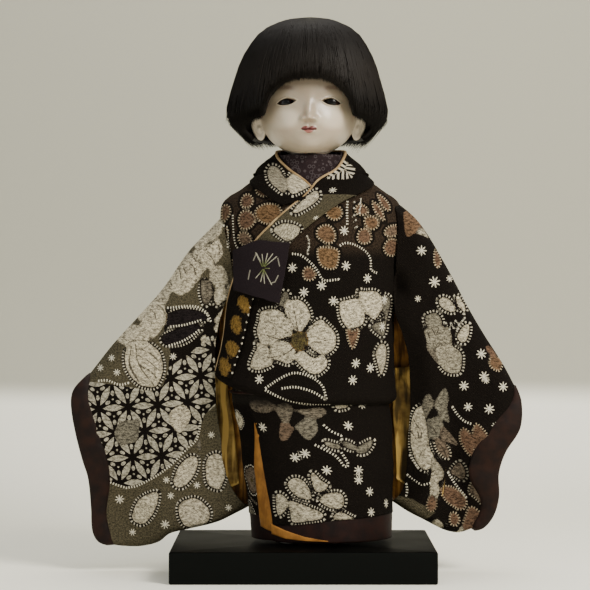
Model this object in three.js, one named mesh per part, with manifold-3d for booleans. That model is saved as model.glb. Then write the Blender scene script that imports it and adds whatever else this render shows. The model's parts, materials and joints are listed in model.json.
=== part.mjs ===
// A play doll in a padded robe with long sleeves, standing on a black lacquered board.
// Millimetres, +Z up, the doll faces -Y. The origin is the middle of the board's underside.
// Heights of the doll are measured from the top of the board, where it stands.
// "right" and "left" are the doll's own sides, so its right arm is on the -X side.
import * as THREE from "three";
import { mergeVertices } from "three/addons/utils/BufferGeometryUtils.js";
import Module from "manifold-3d";

const wasm = await Module();
wasm.setup();

// Clearances
const GAP = 0.3; // between pieces that touch
const LOOSE = 1; // between hanging cloths

// Board and the rod that stands up inside the robe
const BOARD = { width: 180, depth: 130, height: 21.7, edge: 1.2 };
const ROD = { radius: 2.5, sunk: 16, top: 142, cap: 3, capRise: 1 };
const NUT = { radius: 4.4, height: 3.2, recess: 5.6, hole: 6.5 };
const DOLL_SIDE = 5.5; // the doll stands this far from the board's middle

// Trunk
const CHEST = { low: 183, high: 246, wide: 35.1, front: 20, back: 17 };
const MIDRIFF = { low: 139, wide: 28, front: 19, back: 17 };
const HIPS = { low: 96, wide: 33, front: 21, back: 18.5 };
const NECK = { radius: 15.2, socket: 11 };
const ROD_BACK = HIPS.back + GAP + ROD.cap; // the rod stands just behind the hips

// Legs, from the hips down to the board
const LEG = { side: 16, thigh: 13.4, knee: 56, shin: 10.4, ankle: 15, ankleRadius: 7.6 };
const THIGH_SHARES = [0.72, 0.9, 1, 0.98, 0.84]; // of its radius, from the knee upwards
const CALF_SHARES = [0.86, 1, 0.96, 0.9]; // of its radius, from above the ankle upwards
const FOOT = { length: 44, width: 18, heel: 13 };

// Arms, from the shoulder's turning point
const ARM = { upper: 49, radius: 10.8, root: 9.6, elbow: 8.3 };
const SHOULDER = { side: CHEST.wide + ARM.root + GAP, height: 227.3 };
const FOREARM = { ball: 8.7, thick: 7.6, wrist: 5.4, length: 50, hand: 32, palm: 6.6, flat: 4.6 };
const ELBOW = ARM.upper + GAP + FOREARM.ball; // from the shoulder to the elbow's turning point
const UPPER_ARM_SHARES = [[10, 0.96], [24, 1], [38, 0.95]]; // distance along, share of its radius
const FOREARM_SHARES = [[8, 1], [28, 0.9]]; // distance past the elbow, share of its thickness
const ELBOW_EASE = { before: 6, over: 12 }; // stretch in which a bent sleeve rounds the elbow

// Robe body, from the fold at the hips to the neck: height, middle, half width, front, back
const ROBE = [
  [96, -3.5, 61.2, 41.2, 38],
  [104, -4, 63.4, 43.4, 39.6],
  [117, -4, 63, 42.8, 39],
  [138, -1.5, 60.5, 41, 35.5],
  [168, 0, 59.4, 39.5, 34.5],
  [193, 1.2, 60, 38.5, 33.5],
  [213, 0.8, 62.6, 37, 32],
  [228, 0.3, 64.2, 35, 30],
  [238, 0, 61.6, 32.5, 27.5],
  [247, 0, 49, 29.5, 25],
  [254.5, 0, 36.5, 26.5, 23.5],
];
const BODICE = { cloth: 1.6, neckDrop: 18.5, around: 28 };

// Skirt, one cloth wound one and a third times round the legs
const SKIRT_FORM = [
  [5, 7.5, 49.5, 44, 41],
  [20, 7, 50.2, 43.5, 40.5],
  [50, 5.2, 52, 42.5, 38.5],
  [75, 3.6, 53.6, 41, 36.5],
  [96, 0, 54.5, 37.6, 34.6],
  [112, -1.5, 53, 36.6, 34.2],
];
const SKIRT = {
  cloth: 1.2,
  lining: 0.8,
  hem: 19,
  facing: 6,
  top: 110,
  edgeLow: 229,
  edgeHigh: 217,
  turn: 470,
  pitch: 3.4,
  strip: 6,
  windStart: 60,
  windTurn: 300,
  around: 34,
  rows: 6,
};
const UNDER_ROBE = { cloth: 1, top: 108, hem: 8 };
const CORD = { height: 104.5, thick: 2.2 };

// Inner collar, a short cone round the neck
const INNER_COLLAR = { high: 271.5, front: 267.5, cloth: 1.2 };
const COLLAR_LOW = CHEST.high + GAP;
const CONE_LOW = [0, 27, 24.5, 21.5];
const CONE_HIGH = [0, 21.6, 20.2, 21.4];
const BEHIND_NECK = 1.4; // how far the robe collar stands off the inner collar

// Robe collar, one folded band
const COLLAR = { cloth: 1.5, lean: 0.6, steps: 36, across: 3 };

// Felt square sewn on the right breast: its corners as side and height
const PATCH = { cloth: 1.2, corners: [[-38, 209], [-14.5, 207], [-21.5, 167.5], [-52.6, 176]] };

// Sleeves
const SLEEVE = { cloth: 1.2, lining: 0.8, inner: 0.8, length: 155, bottomThick: 6.4, around: 20, along: 9 };
const RIGHT_SLEEVE = {
  angle: 50,
  bend: 0,
  puff: 0,
  lean: 16,
  cuffRise: -5.2,
  bodyRise: 21.6,
  edgeRise: 4.4,
  dip: 7,
  wave: [0, 4.2, -1, 0.5, 3.4, 0],
  band: [4, 10, 12, 11, 8.5, 3],
};
const LEFT_SLEEVE = {
  angle: 50,
  bend: 7,
  puff: 6,
  lean: 26,
  cuffRise: 8.1,
  bodyRise: 27,
  edgeRise: 8.3,
  dip: 0,
  wave: [0, -4, -12, -13.5, -1, 0],
  band: [3, 9, 17, 17, 9, 3],
};
const RAISE = 30; // degrees that each arm lifts
const PUFF = { from: 0.1, to: 0.38 }; // stretch of the top edge that stands off the arm
const SLEEVE_ROUND = { head: 0.36, thinFrom: 0.3, thinOver: 0.6, hemFrom: 0.8, hemShare: 0.9 };
const FOLD = { depth: 3.4, from: 0.12, over: 0.6, waves: 1.3, start: 0.25, lean: 0.12 };
const BOARD_CLEAR = { beside: 3, over: 14, sag: 0.3 }; // where the sleeve's hem leaves the board
const CUFF_TRIM = { stations: [1.05, 1.1], reach: 10, drop: 0.15, slope: 0.4 };
const SLEEVE_CUT = 21.4; // radius round the shoulder that the sleeve stays outside
const ARMHOLE = { inside: 8, rise: 6, drop: 15, above: 32, below: 26, reach: 46, ease: 2.2 };
const INNER_SLEEVE = { start: 0.08, reach: 0.32, low: 0.9, along: 4 };

// Head and hair: height, middle, half width, front, back
const HEAD = [
  [269.9, 0, 11, 26, 15],
  [272, 0, 16, 30, 16],
  [276, 0, 22, 33, 20],
  [282, 0, 27.5, 35, 26],
  [291, 0, 32, 36, 33],
  [303, 0, 34, 36.4, 37.5],
  [317, 0, 34.8, 36.2, 39.5],
  [331, 0, 34.2, 34.5, 39],
  [343, 0, 30.5, 29.5, 34.5],
  [352, 0, 22, 21, 25],
  [357, 0, 11, 10, 12],
];
const SKULL_TOP = 358.5;
const CROWN = [0, 3, 3, 3]; // small flat ring that closes the top of the skull and of the hair
const HEAD_LEVELS = [270, 272, 275, 279, 283, 287, 291, 294.5, 297.5, 301, 304.6, 309, 315];
const CROWN_LEVELS = [322, 331, 340, 348, 354, 357];
const EYE = { side: 15.4, height: 304.6, radius: 6.6, slitWide: 7.8, slitHigh: 3, socket: 1.6, set: 0.9 };

// Rises of the face: outwards, side, height, spread sideways, spread upwards
const FACE = [
  [4.2, 0, 294.5, 4.6, 4.6],
  [1.5, 0, 303, 4.4, 9],
  [-EYE.socket, EYE.side - 1, EYE.height, 8, 5],
  [1.4, 16, 290.5, 11, 10],
  [1.3, 0, 285, 6, 3.4],
  [1, 0, 275, 8, 4],
];
const EAR = { side: 34.6, behind: 2.5, height: 292.5, tall: 13.4, deep: 8.4, thick: 3.4, turn: 0.35 };
const HAIR = [
  [278.5, -2, 41, 38, 43],
  [283, -2, 45.5, 41, 47],
  [292, -2.6, 54.4, 44, 51],
  [303, -2.6, 54.6, 44.5, 52],
  [317, -2.6, 51.6, 44, 51.5],
  [331, -2.4, 47.6, 42.5, 49.5],
  [344, -2, 41.5, 38, 44],
  [356, -1.5, 32, 29, 34],
  [363, -1, 18, 16, 19],
];
const HAIR_TOP = 365.8;
const HAIR_LEVELS = [278.5, 283, 288, 293, 302, 312, 322, 332, 342, 351, 358, 363];
const HAIR_THIN = 1; // room between the skull and the hair's hollow
const HAIR_INSIDE = [
  [270, 0, 36.5, 37, 39.5],
  [283, 0, 38.4, 37.6, 41],
  [303, 0, 39.2, 37.6, 41.4],
];
const HOLLOW_LEVELS = [270, 283, 303, 317, 331, 341, 349, 355, 357.5];

// Opening over the face: the fringe ends this far above the eyes in the middle and at its corners
const FRINGE = { above: 13.4, cornerAbove: 3.2, side: 36.5, jawSide: 41.5, jaw: 294, behind: -7, curve: 2.6 };

// Small helpers for numbers and curves

const degrees = THREE.MathUtils.degToRad;
const mix = THREE.MathUtils.lerp;
const clamp = THREE.MathUtils.clamp;

function smooth(value) {
  const t = clamp(value, 0, 1);
  return t * t * (3 - 2 * t);
}

// Smooth values between the rows of a table whose first column is the height
function rowAt(table, height) {
  const last = table.length - 1;
  const h = clamp(height, table[0][0], table[last][0]);
  let k = 0;
  while (k < last - 1 && h > table[k + 1][0]) k += 1;
  const span = table[k + 1][0] - table[k][0];
  const t = (h - table[k][0]) / span;
  const slope = (row, column) => {
    const a = table[Math.max(row - 1, 0)];
    const b = table[Math.min(row + 1, last)];
    return (b[column] - a[column]) / (b[0] - a[0]);
  };
  return table[k].slice(1).map((start, index) => {
    const column = index + 1;
    const end = table[k + 1][column];
    const m0 = slope(k, column) * span;
    const m1 = slope(k + 1, column) * span;
    const t2 = t * t;
    const t3 = t2 * t;
    return (2 * t3 - 3 * t2 + 1) * start + (t3 - 2 * t2 + t) * m0 + (3 * t2 - 2 * t3) * end + (t3 - t2) * m1;
  });
}

// Smooth value along a list of evenly spaced values, t from 0 to 1
function listAt(list, t) {
  const rows = list.map((value, index) => [index / (list.length - 1), value]);
  return rowAt(rows, t)[0];
}

// Point of an egg-shaped level section: angle 0 is +X, 90 the back, 180 -X and 270 the front
function around(form, angle, height, out = 0) {
  const [middle, wide, front, back] = form;
  const a = degrees(angle);
  const deep = Math.sin(a) < 0 ? front : back;
  return [middle + (wide + out) * Math.cos(a), (deep + out) * Math.sin(a), height];
}

// Closed meshes from grids of points

function solidFrom(points, faces) {
  const geometry = new THREE.BufferGeometry();
  let volume = 0;
  for (const [a, b, c] of faces) {
    const [p, q, r] = [points[a], points[b], points[c]];
    volume += p[0] * (q[1] * r[2] - q[2] * r[1]);
    volume += p[1] * (q[2] * r[0] - q[0] * r[2]);
    volume += p[2] * (q[0] * r[1] - q[1] * r[0]);
  }
  const index = volume > 0 ? faces.flat() : faces.map(([a, b, c]) => [a, c, b]).flat();
  geometry.setAttribute("position", new THREE.Float32BufferAttribute(points.flat(), 3));
  geometry.setIndex(index);
  geometry.computeVertexNormals();
  return geometry;
}

// Rings of equal length, skinned one to the next, with a fan over each end
function skin(rings) {
  const count = rings[0].length;
  const points = rings.flat();
  const faces = [];
  for (let row = 0; row < rings.length - 1; row += 1) {
    for (let i = 0; i < count; i += 1) {
      const a = row * count + i;
      const b = row * count + ((i + 1) % count);
      faces.push([a, b, b + count], [a, b + count, a + count]);
    }
  }
  for (const end of [0, rings.length - 1]) {
    const centre = points.length;
    const mean = [0, 1, 2].map((axis) => rings[end].reduce((sum, p) => sum + p[axis], 0) / count);
    points.push(mean);
    for (let i = 0; i < count; i += 1) {
      const a = end * count + i;
      const b = end * count + ((i + 1) % count);
      faces.push(end === 0 ? [b, a, centre] : [a, b, centre]);
    }
  }
  return solidFrom(points, faces);
}

// A wall between an outer and an inner grid of the same size: open at both ends, or a flat sheet
function wall(outer, inner, closed) {
  const rows = outer.length;
  const count = outer[0].length;
  const total = rows * count;
  const points = [...outer.flat(), ...inner.flat()];
  const faces = [];
  const quad = (a, b, c, d) => faces.push([a, b, c], [a, c, d]);
  const steps = closed ? count : count - 1;
  for (let row = 0; row < rows - 1; row += 1) {
    for (let i = 0; i < steps; i += 1) {
      const a = row * count + i;
      const b = row * count + ((i + 1) % count);
      quad(a, b, b + count, a + count);
      quad(total + a, total + a + count, total + b + count, total + b);
    }
  }
  for (let i = 0; i < steps; i += 1) {
    const b = (i + 1) % count;
    const up = (rows - 1) * count;
    quad(b, i, total + i, total + b);
    quad(up + i, up + b, total + up + b, total + up + i);
  }
  if (!closed) {
    for (let row = 0; row < rows - 1; row += 1) {
      const a = row * count;
      const e = a + count - 1;
      quad(a, a + count, total + a + count, total + a);
      quad(e + count, e, total + e, total + e + count);
    }
  }
  return solidFrom(points, faces);
}

function span(count, from, to) {
  return Array.from({ length: count + 1 }, (_, i) => from + ((to - from) * i) / count);
}

function turn(count) {
  return Array.from({ length: count }, (_, i) => (360 * i) / count);
}

// Joining and cutting

function toSolid(geometry) {
  const bare = geometry.clone();
  bare.deleteAttribute("normal");
  bare.deleteAttribute("uv");
  const merged = mergeVertices(bare, 1e-4);
  const mesh = new wasm.Mesh({
    numProp: 3,
    vertProperties: new Float32Array(merged.attributes.position.array),
    triVerts: new Uint32Array(merged.index.array),
  });
  mesh.merge();
  return new wasm.Manifold(mesh);
}

function toGeometry(solid) {
  const mesh = solid.getMesh();
  const geometry = new THREE.BufferGeometry();
  geometry.setAttribute("position", new THREE.BufferAttribute(mesh.vertProperties, 3));
  geometry.setIndex(new THREE.BufferAttribute(mesh.triVerts, 1));
  geometry.computeVertexNormals();
  return geometry;
}

function cut(geometry, ...tools) {
  const whole = toSolid(geometry);
  return toGeometry(tools.reduce((left, tool) => left.subtract(toSolid(tool)), whole));
}

function join(...geometries) {
  return toGeometry(geometries.map(toSolid).reduce((sum, next) => sum.add(next)));
}

function cylinder(radius, low, high, x = 0, y = 0, sides = 24) {
  const geometry = new THREE.CylinderGeometry(radius, radius, high - low, sides);
  return geometry.rotateX(Math.PI / 2).translate(x, y, (low + high) / 2);
}

function ball(radius, x, y, z, sides = 14) {
  return new THREE.SphereGeometry(radius, sides, sides / 2).rotateX(Math.PI / 2).translate(x, y, z);
}

// Outline in X and Z, pushed through in Y
function plate(outline, near, far) {
  const shape = new THREE.Shape(outline.map(([x, z]) => new THREE.Vector2(x, z)));
  const geometry = new THREE.ExtrudeGeometry(shape, { depth: far - near, bevelEnabled: false });
  return geometry.rotateX(Math.PI / 2).translate(0, far, 0);
}

// Point beside the arm's line: along it from the shoulder, across it upwards, and forward in y.
// Past the elbow the line turns down by the bend. Side is -1 for the doll's right.
function limbPoint(side, plan, along, across, y) {
  const past = smooth((along - ELBOW + ELBOW_EASE.before) / ELBOW_EASE.over);
  const a = degrees(plan.angle);
  const b = degrees(plan.angle + plan.bend);
  const upper = Math.min(along, ELBOW);
  const lower = Math.max(along - ELBOW, 0);
  const lift = degrees(plan.angle + plan.bend * past);
  const x = SHOULDER.side + upper * Math.cos(a) + lower * Math.cos(b) + across * Math.sin(lift);
  const z = SHOULDER.height - upper * Math.sin(a) - lower * Math.sin(b) + across * Math.cos(lift);
  return [side * x, y, z];
}

function limb(side, plan, profile, sides = 16) {
  const rings = profile.map(([along, radius, flat]) =>
    turn(sides).map((t) => {
      const a = degrees(t);
      return limbPoint(side, plan, along, radius * Math.cos(a), (flat ?? radius) * Math.sin(a));
    }),
  );
  return skin(rings);
}

// Board, rod and nut

function boardGeometry() {
  const e = BOARD.edge;
  const shape = new THREE.Shape();
  shape.moveTo(-BOARD.width / 2 + e, -BOARD.depth / 2 + e);
  shape.lineTo(BOARD.width / 2 - e, -BOARD.depth / 2 + e);
  shape.lineTo(BOARD.width / 2 - e, BOARD.depth / 2 - e);
  shape.lineTo(-BOARD.width / 2 + e, BOARD.depth / 2 - e);
  const block = new THREE.ExtrudeGeometry(shape, {
    depth: BOARD.height - 2 * e,
    bevelThickness: e,
    bevelSize: e,
    bevelSegments: 2,
  }).translate(0, 0, e);
  const hole = cylinder(ROD.radius + GAP, -1, BOARD.height + 1, DOLL_SIDE, ROD_BACK);
  const recess = cylinder(NUT.hole, -1, NUT.recess, DOLL_SIDE, ROD_BACK);
  return cut(block, hole, recess);
}

function rodGeometry() {
  return cylinder(ROD.radius, BOARD.height - ROD.sunk, BOARD.height + ROD.top, DOLL_SIDE, ROD_BACK);
}

function rodCapGeometry() {
  const top = BOARD.height + ROD.top;
  const block = ball(ROD.cap, DOLL_SIDE, ROD_BACK, top + ROD.capRise);
  return cut(block, cylinder(ROD.radius + GAP, 0, top + GAP, DOLL_SIDE, ROD_BACK));
}

function nutGeometry() {
  const low = NUT.recess - GAP - NUT.height;
  const body = cylinder(NUT.radius, low, NUT.recess - GAP, DOLL_SIDE, ROD_BACK, 6);
  return cut(body, cylinder(ROD.radius + GAP, low - 1, NUT.recess + 1, DOLL_SIDE, ROD_BACK));
}

// Trunk and legs

const NECK_FLOOR = CHEST.high - NECK.socket;

function trunkPiece(low, high, shape, swell, sides = 20) {
  const rings = span(6, 0, 1).map((t) => {
    const end = Math.pow(Math.abs(2 * t - 1), swell.power);
    const size = 1 - swell.taper * end;
    const form = [0, shape.wide * size, shape.front * size, shape.back * size];
    return turn(sides).map((a) => around(form, a, mix(low, high, t)));
  });
  return skin(rings);
}

function chestGeometry() {
  const body = trunkPiece(CHEST.low, CHEST.high, CHEST, { taper: 0.2, power: 4 });
  return cut(body, cylinder(NECK.radius + GAP, NECK_FLOOR - GAP, CHEST.high + 1));
}

function midriffGeometry() {
  return trunkPiece(MIDRIFF.low, CHEST.low - GAP, MIDRIFF, { taper: 0.12, power: 2 });
}

function hipsGeometry() {
  return trunkPiece(HIPS.low, MIDRIFF.low - GAP, HIPS, { taper: 0.18, power: 3 });
}

function legRound(low, high, radii, x) {
  const rings = radii.map((radius, i) => {
    const height = mix(low, high, i / (radii.length - 1));
    return turn(14).map((a) => around([x, radius, radius, radius], a, height));
  });
  return skin(rings);
}

function thighGeometry(x) {
  return legRound(LEG.knee, HIPS.low - GAP, THIGH_SHARES.map((share) => share * LEG.thigh), x);
}

function shinGeometry(x) {
  const calf = CALF_SHARES.map((share) => share * LEG.shin);
  return legRound(LEG.ankle, LEG.knee - GAP, [LEG.ankleRadius, ...calf], x);
}

// Sock foot: a rounded sole that rises from the toes to the ankle
function footGeometry(x) {
  const top = LEG.ankle - GAP;
  const rings = span(4, 0, 1).map((t) => {
    const toe = mix(FOOT.length - FOOT.heel, LEG.ankleRadius, smooth(t * 1.15));
    const half = mix(FOOT.width / 2, LEG.ankleRadius, t) * (t === 0 ? 0.92 : 1);
    const heel = mix(FOOT.heel, LEG.ankleRadius, t);
    return turn(16).map((a) => around([x, half, toe, heel], a, mix(GAP, top, t)));
  });
  return skin(rings);
}

// Arms

function upperArmGeometry(side, plan) {
  const cap = ARM.root;
  const root = [80, 55, 30, 10].map((a) => [-cap * Math.sin(degrees(a)), cap * Math.cos(degrees(a))]);
  const swell = UPPER_ARM_SHARES.map(([along, share]) => [along, share * ARM.radius]);
  return limb(side, { ...plan, bend: 0 }, [...root, ...swell, [ARM.upper, ARM.elbow]]);
}

function forearmGeometry(side, plan) {
  const r = FOREARM.ball;
  const knob = [80, 50, 20].map((a) => [ELBOW - r * Math.sin(degrees(a)), r * Math.cos(degrees(a))]);
  const wrist = ELBOW + FOREARM.length;
  const hand = [0.15, 0.45, 0.75, 0.93].map((t) => {
    const size = Math.sqrt(1 - Math.pow(2 * t - 0.9, 2) * 0.82);
    return [wrist + t * FOREARM.hand, FOREARM.palm * size, FOREARM.flat * size];
  });
  const shaft = FOREARM_SHARES.map(([past, share]) => [ELBOW + past, share * FOREARM.thick]);
  return forearmLimb(side, plan, [...knob, ...shaft, [wrist, FOREARM.wrist], ...hand]);
}

// The forearm turns as one stiff piece about the elbow, so its line is bent from there
function forearmLimb(side, plan, profile) {
  const bent = { angle: plan.angle + plan.bend, bend: 0 };
  const [elbowX, , elbowZ] = limbPoint(side, plan, ELBOW, 0, 0);
  const [straightX, , straightZ] = limbPoint(side, bent, ELBOW, 0, 0);
  return limb(side, bent, profile, 14).translate(elbowX - straightX, 0, elbowZ - straightZ);
}

// Robe body

function frontness(angle) {
  return smooth((-Math.sin(degrees(angle)) - 0.1) / 0.75);
}

function bodiceGeometry() {
  const low = ROBE[0][0];
  const high = ROBE[ROBE.length - 1][0];
  const layer = (inset) =>
    ROBE.map(([h]) => (h - low) / (high - low)).map((v) =>
      turn(BODICE.around).map((a) => {
        const height = mix(low, high - BODICE.neckDrop * frontness(a), v);
        return around(rowAt(ROBE, height), a, height, -inset);
      }),
    );
  const shell = wall(layer(0), layer(BODICE.cloth), true);
  return cut(shell, armhole(-1, RIGHT_SLEEVE.angle), armhole(1, LEFT_SLEEVE.angle));
}

// The arm's way through the robe's side, from hanging to raised
function armhole(side, angle) {
  const start = degrees(angle - RAISE - ARMHOLE.above);
  const end = degrees(angle + ARMHOLE.below);
  const fan = span(6, start, end).map((a) => [ARMHOLE.reach * Math.cos(a), -ARMHOLE.reach * Math.sin(a)]);
  const points = [[ARMHOLE.inside, ARMHOLE.rise], ...fan, [ARMHOLE.inside, -ARMHOLE.drop]];
  const place = points.map(([x, z]) => [side * (SHOULDER.side + x), SHOULDER.height + z]);
  const deep = ARM.radius + ARMHOLE.ease;
  return plate(side > 0 ? place : place.reverse(), -deep, deep);
}

// Skirt: height and wrap give a point of the wound cloth

function skirtPoint(wrap, height, inset) {
  const edge = mix(SKIRT.edgeLow, SKIRT.edgeHigh, height / SKIRT.top);
  const angle = edge + wrap;
  const form = rowAt(SKIRT_FORM, height);
  const wind = SKIRT.pitch * smooth((wrap - SKIRT.windStart) / SKIRT.windTurn);
  return around(form, angle, height, -inset - wind);
}

const WRAPS = span(SKIRT.around, 0, SKIRT.turn);
const SKIRT_ROWS = span(SKIRT.rows, SKIRT.hem, SKIRT.top);

function skirtSheet(heights, wraps, outer, inner) {
  const layer = (inset) => heights.map((h) => wraps.map((w) => skirtPoint(w, h, inset)));
  return wall(layer(outer), layer(inner), false);
}

const LINING_OUT = SKIRT.cloth + GAP;
const UNDER_OUT = SKIRT.pitch + LINING_OUT + SKIRT.lining + LOOSE;

function underRobeGeometry() {
  const layer = (inset) =>
    span(4, UNDER_ROBE.hem, UNDER_ROBE.top).map((h) =>
      turn(28).map((a) => around(rowAt(SKIRT_FORM, h), a, h, -inset)),
    );
  return wall(layer(UNDER_OUT), layer(UNDER_OUT + UNDER_ROBE.cloth), true);
}

function cordGeometry() {
  const r = CORD.thick / 2;
  const rings = turn(28).map((a) =>
    turn(5).map((t) => {
      const out = GAP + r + r * Math.cos(degrees(t));
      return around(rowAt(SKIRT_FORM, CORD.height), a, CORD.height + r * Math.sin(degrees(t)), out);
    }),
  );
  return loop(rings);
}

// Rings joined end to end into one closed loop
function loop(rings) {
  const count = rings[0].length;
  const faces = [];
  rings.forEach((_, row) => {
    const next = (row + 1) % rings.length;
    for (let i = 0; i < count; i += 1) {
      const j = (i + 1) % count;
      const [a, b, c, d] = [row * count + i, row * count + j, next * count + j, next * count + i];
      faces.push([a, b, c], [a, c, d]);
    }
  });
  return solidFrom(rings.flat(), faces);
}

// Collars

function cone(height) {
  const t = (height - COLLAR_LOW) / (INNER_COLLAR.high - COLLAR_LOW);
  return CONE_LOW.map((low, i) => mix(low, CONE_HIGH[i], t));
}

function innerCollarGeometry() {
  const layer = (inset) =>
    span(3, 0, 1).map((v) =>
      turn(24).map((a) => {
        const top = mix(INNER_COLLAR.high, INNER_COLLAR.front, frontness(a));
        const height = mix(COLLAR_LOW, top, v);
        return around(cone(height), a, height, -inset);
      }),
    );
  return wall(layer(0), layer(INNER_COLLAR.cloth), true);
}

const onRobe = (angle, height, out) => around(rowAt(ROBE, height), angle, height, out);
const onCone = (angle, height, out) => around(cone(height), angle, height, out);

// Stations of the band: angle and height of its neck edge and of its outer edge, how far it
// stands off, and how much of it lies on the inner collar. It runs from the robe's right hip
// over the chest, round the left of the neck, behind it, and in front down under itself.
const UNDER = GAP * 2.4;
const OVER = UNDER + COLLAR.cloth + GAP;
const COLLAR_STATIONS = [
  [194, 112, 217, 106, UNDER, 0],
  [195, 140, 222, 138, UNDER, 0],
  [199, 168, 229, 168, UNDER, 0],
  [214, 192, 243, 190, UNDER, 0],
  [233, 210, 257, 208, UNDER, 0],
  [247, 222, 276, 226, OVER, 0],
  [261, 236, 290, 236, OVER, 0.3],
  [278, 250, 306, 242, OVER, 1],
  [306, 258, 326, 247, OVER, 1],
  [332, 266, 344, 251, BEHIND_NECK, 1],
  [360, 271.5, 360, 253, BEHIND_NECK, 1],
  [400, 273.5, 400, 252, BEHIND_NECK, 1],
  [450, 274.5, 450, 251, BEHIND_NECK, 1],
  [500, 273.5, 500, 252, BEHIND_NECK, 1],
  [540, 271.5, 540, 253, BEHIND_NECK, 1],
  [568, 266, 556, 251, BEHIND_NECK, 1],
  [596, 258, 574, 247, UNDER, 1],
  [622, 250, 594, 242, UNDER, 1],
  [640, 240, 612, 233, UNDER, 0.2],
];

function collarPoint(t, v) {
  const [neckAngle, neckHeight, outerAngle, outerHeight, out, seat] = COLLAR_STATIONS[0].map((_, column) =>
    listAt(COLLAR_STATIONS.map((row) => row[column]), t),
  );
  const angle = mix(neckAngle, outerAngle, v);
  const height = mix(neckHeight, outerHeight, v);
  const robe = onRobe(angle, height, out);
  const inner = onCone(angle, height, out + COLLAR.lean);
  const share = mix(1, smooth(v * 1.15), clamp(seat, 0, 1));
  return new THREE.Vector3(...inner).lerp(new THREE.Vector3(...robe), share);
}

function collarGeometry() {
  const grid = span(COLLAR.steps, 0, 1).map((t) => span(COLLAR.across, 0, 1).map((v) => collarPoint(t, v)));
  const outside = grid.map((row, i) =>
    row.map((p, j) => {
      const before = grid[Math.max(i - 1, 0)][j];
      const after = grid[Math.min(i + 1, grid.length - 1)][j];
      const along = after.clone().sub(before);
      const across = row[Math.min(j + 1, row.length - 1)].clone().sub(row[Math.max(j - 1, 0)]);
      const normal = along.cross(across).normalize();
      if (normal.x * p.x + normal.y * p.y < 0) normal.negate();
      return p.clone().addScaledVector(normal, COLLAR.cloth).toArray();
    }),
  );
  return wall(outside, grid.map((row) => row.map((p) => p.toArray())), false);
}

// Point on the robe's front by side and height
function robeFront(x, height, out) {
  const [middle, wide, front] = rowAt(ROBE, height);
  const across = clamp((x - middle) / (wide + out), -0.995, 0.995);
  return [x, -(front + out) * Math.sqrt(1 - across * across), height];
}

function patchGeometry() {
  const [a, b, c, d] = PATCH.corners;
  const lift = UNDER + COLLAR.cloth + LOOSE;
  const layer = (out) =>
    span(4, 0, 1).map((v) =>
      span(5, 0, 1).map((u) => {
        const x = mix(mix(a[0], b[0], u), mix(d[0], c[0], u), v);
        const h = mix(mix(a[1], b[1], u), mix(d[1], c[1], u), v);
        return robeFront(x, h, out);
      }),
    );
  return wall(layer(lift + PATCH.cloth), layer(lift), false);
}

// Sleeves: a flattened tube that hangs from the arm, open at the cuff and at the body side.
// s runs from the body side to the cuff, v from the arm down to the hem.

const SLEEVE_TOP = ARM.radius + SLEEVE.inner + SLEEVE.lining + SLEEVE.cloth + GAP * 4;

function robeSide(side, height) {
  const [middle, wide] = height > ROBE[0][0] ? rowAt(ROBE, height) : rowAt(SKIRT_FORM, height);
  return wide + side * middle;
}

function sleeveForm(side, plan, puff = plan.puff) {
  const boardEdge = BOARD.width / 2 - side * DOLL_SIDE;
  const start = Math.sqrt(SLEEVE_CUT * SLEEVE_CUT - SLEEVE_TOP * SLEEVE_TOP);
  const at = (along, across) => {
    const [x, , z] = limbPoint(1, plan, along, across, 0);
    return [x, z];
  };
  const puffed = (s) => puff * Math.sin(Math.PI * clamp((s - PUFF.from) / (PUFF.to - PUFF.from), 0, 1));
  const topEdge = (s) => at(mix(start, SLEEVE.length, s), SLEEVE_TOP + puffed(s));
  const shoulder = topEdge(0);
  const cuff = topEdge(1);
  const inner = [robeSide(side, plan.bodyRise) + 2 * LOOSE, plan.bodyRise];
  const outer = [cuff[0] - plan.lean, plan.cuffRise];
  const hem = (s) => {
    const x = mix(inner[0], outer[0], s);
    const clear = boardEdge + BOARD_CLEAR.beside;
    const beyond = smooth((x - clear) / BOARD_CLEAR.over);
    const over = mix(plan.bodyRise, plan.edgeRise, clamp((x - inner[0]) / (clear - inner[0]), 0, 1));
    const sag = plan.dip * BOARD_CLEAR.sag * Math.sin(Math.PI * beyond);
    return [x, over + beyond * (plan.cuffRise - plan.edgeRise) - sag];
  };
  const bodySide = (v) => {
    const z = mix(shoulder[1], inner[1], v);
    const gapToRobe = z > ROBE[0][0] ? robeSide(side, z) + LOOSE : 0;
    const fold = robeSide(side, ROBE[1][0]) + LOOSE;
    const below = mix(inner[0], fold, smooth((z - inner[1]) / (ROBE[1][0] - inner[1])));
    const wide = z > ROBE[1][0] ? gapToRobe : Math.max(below, gapToRobe);
    const rise = Math.abs(z - SHOULDER.height);
    const round = rise < SLEEVE_CUT ? SHOULDER.side + Math.sqrt(SLEEVE_CUT ** 2 - rise ** 2) : 0;
    return [Math.max(wide, round), z];
  };
  const cuffSide = (v) => {
    const p = [mix(cuff[0], outer[0], v), mix(cuff[1], outer[1], v)];
    return [p[0] + listAt(plan.wave, v), p[1]];
  };
  return { topEdge, hem, bodySide, cuffSide, shoulder, cuff, inner, outer, plan, side };
}

// A point of the sleeve's middle surface in X and Z, blended from its four edges
function sleevePlane(form, s, v) {
  const t = form.topEdge(clamp(s, 0, 1));
  const h = form.hem(clamp(s, 0, 1));
  const b = form.bodySide(v);
  const c = form.cuffSide(v);
  const corner = (k) => mix(mix(form.shoulder[k], form.cuff[k], s), mix(form.inner[k], form.outer[k], s), v);
  return [0, 1].map((k) => mix(t[k], h[k], v) + mix(b[k], c[k], s) - corner(k));
}

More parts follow.
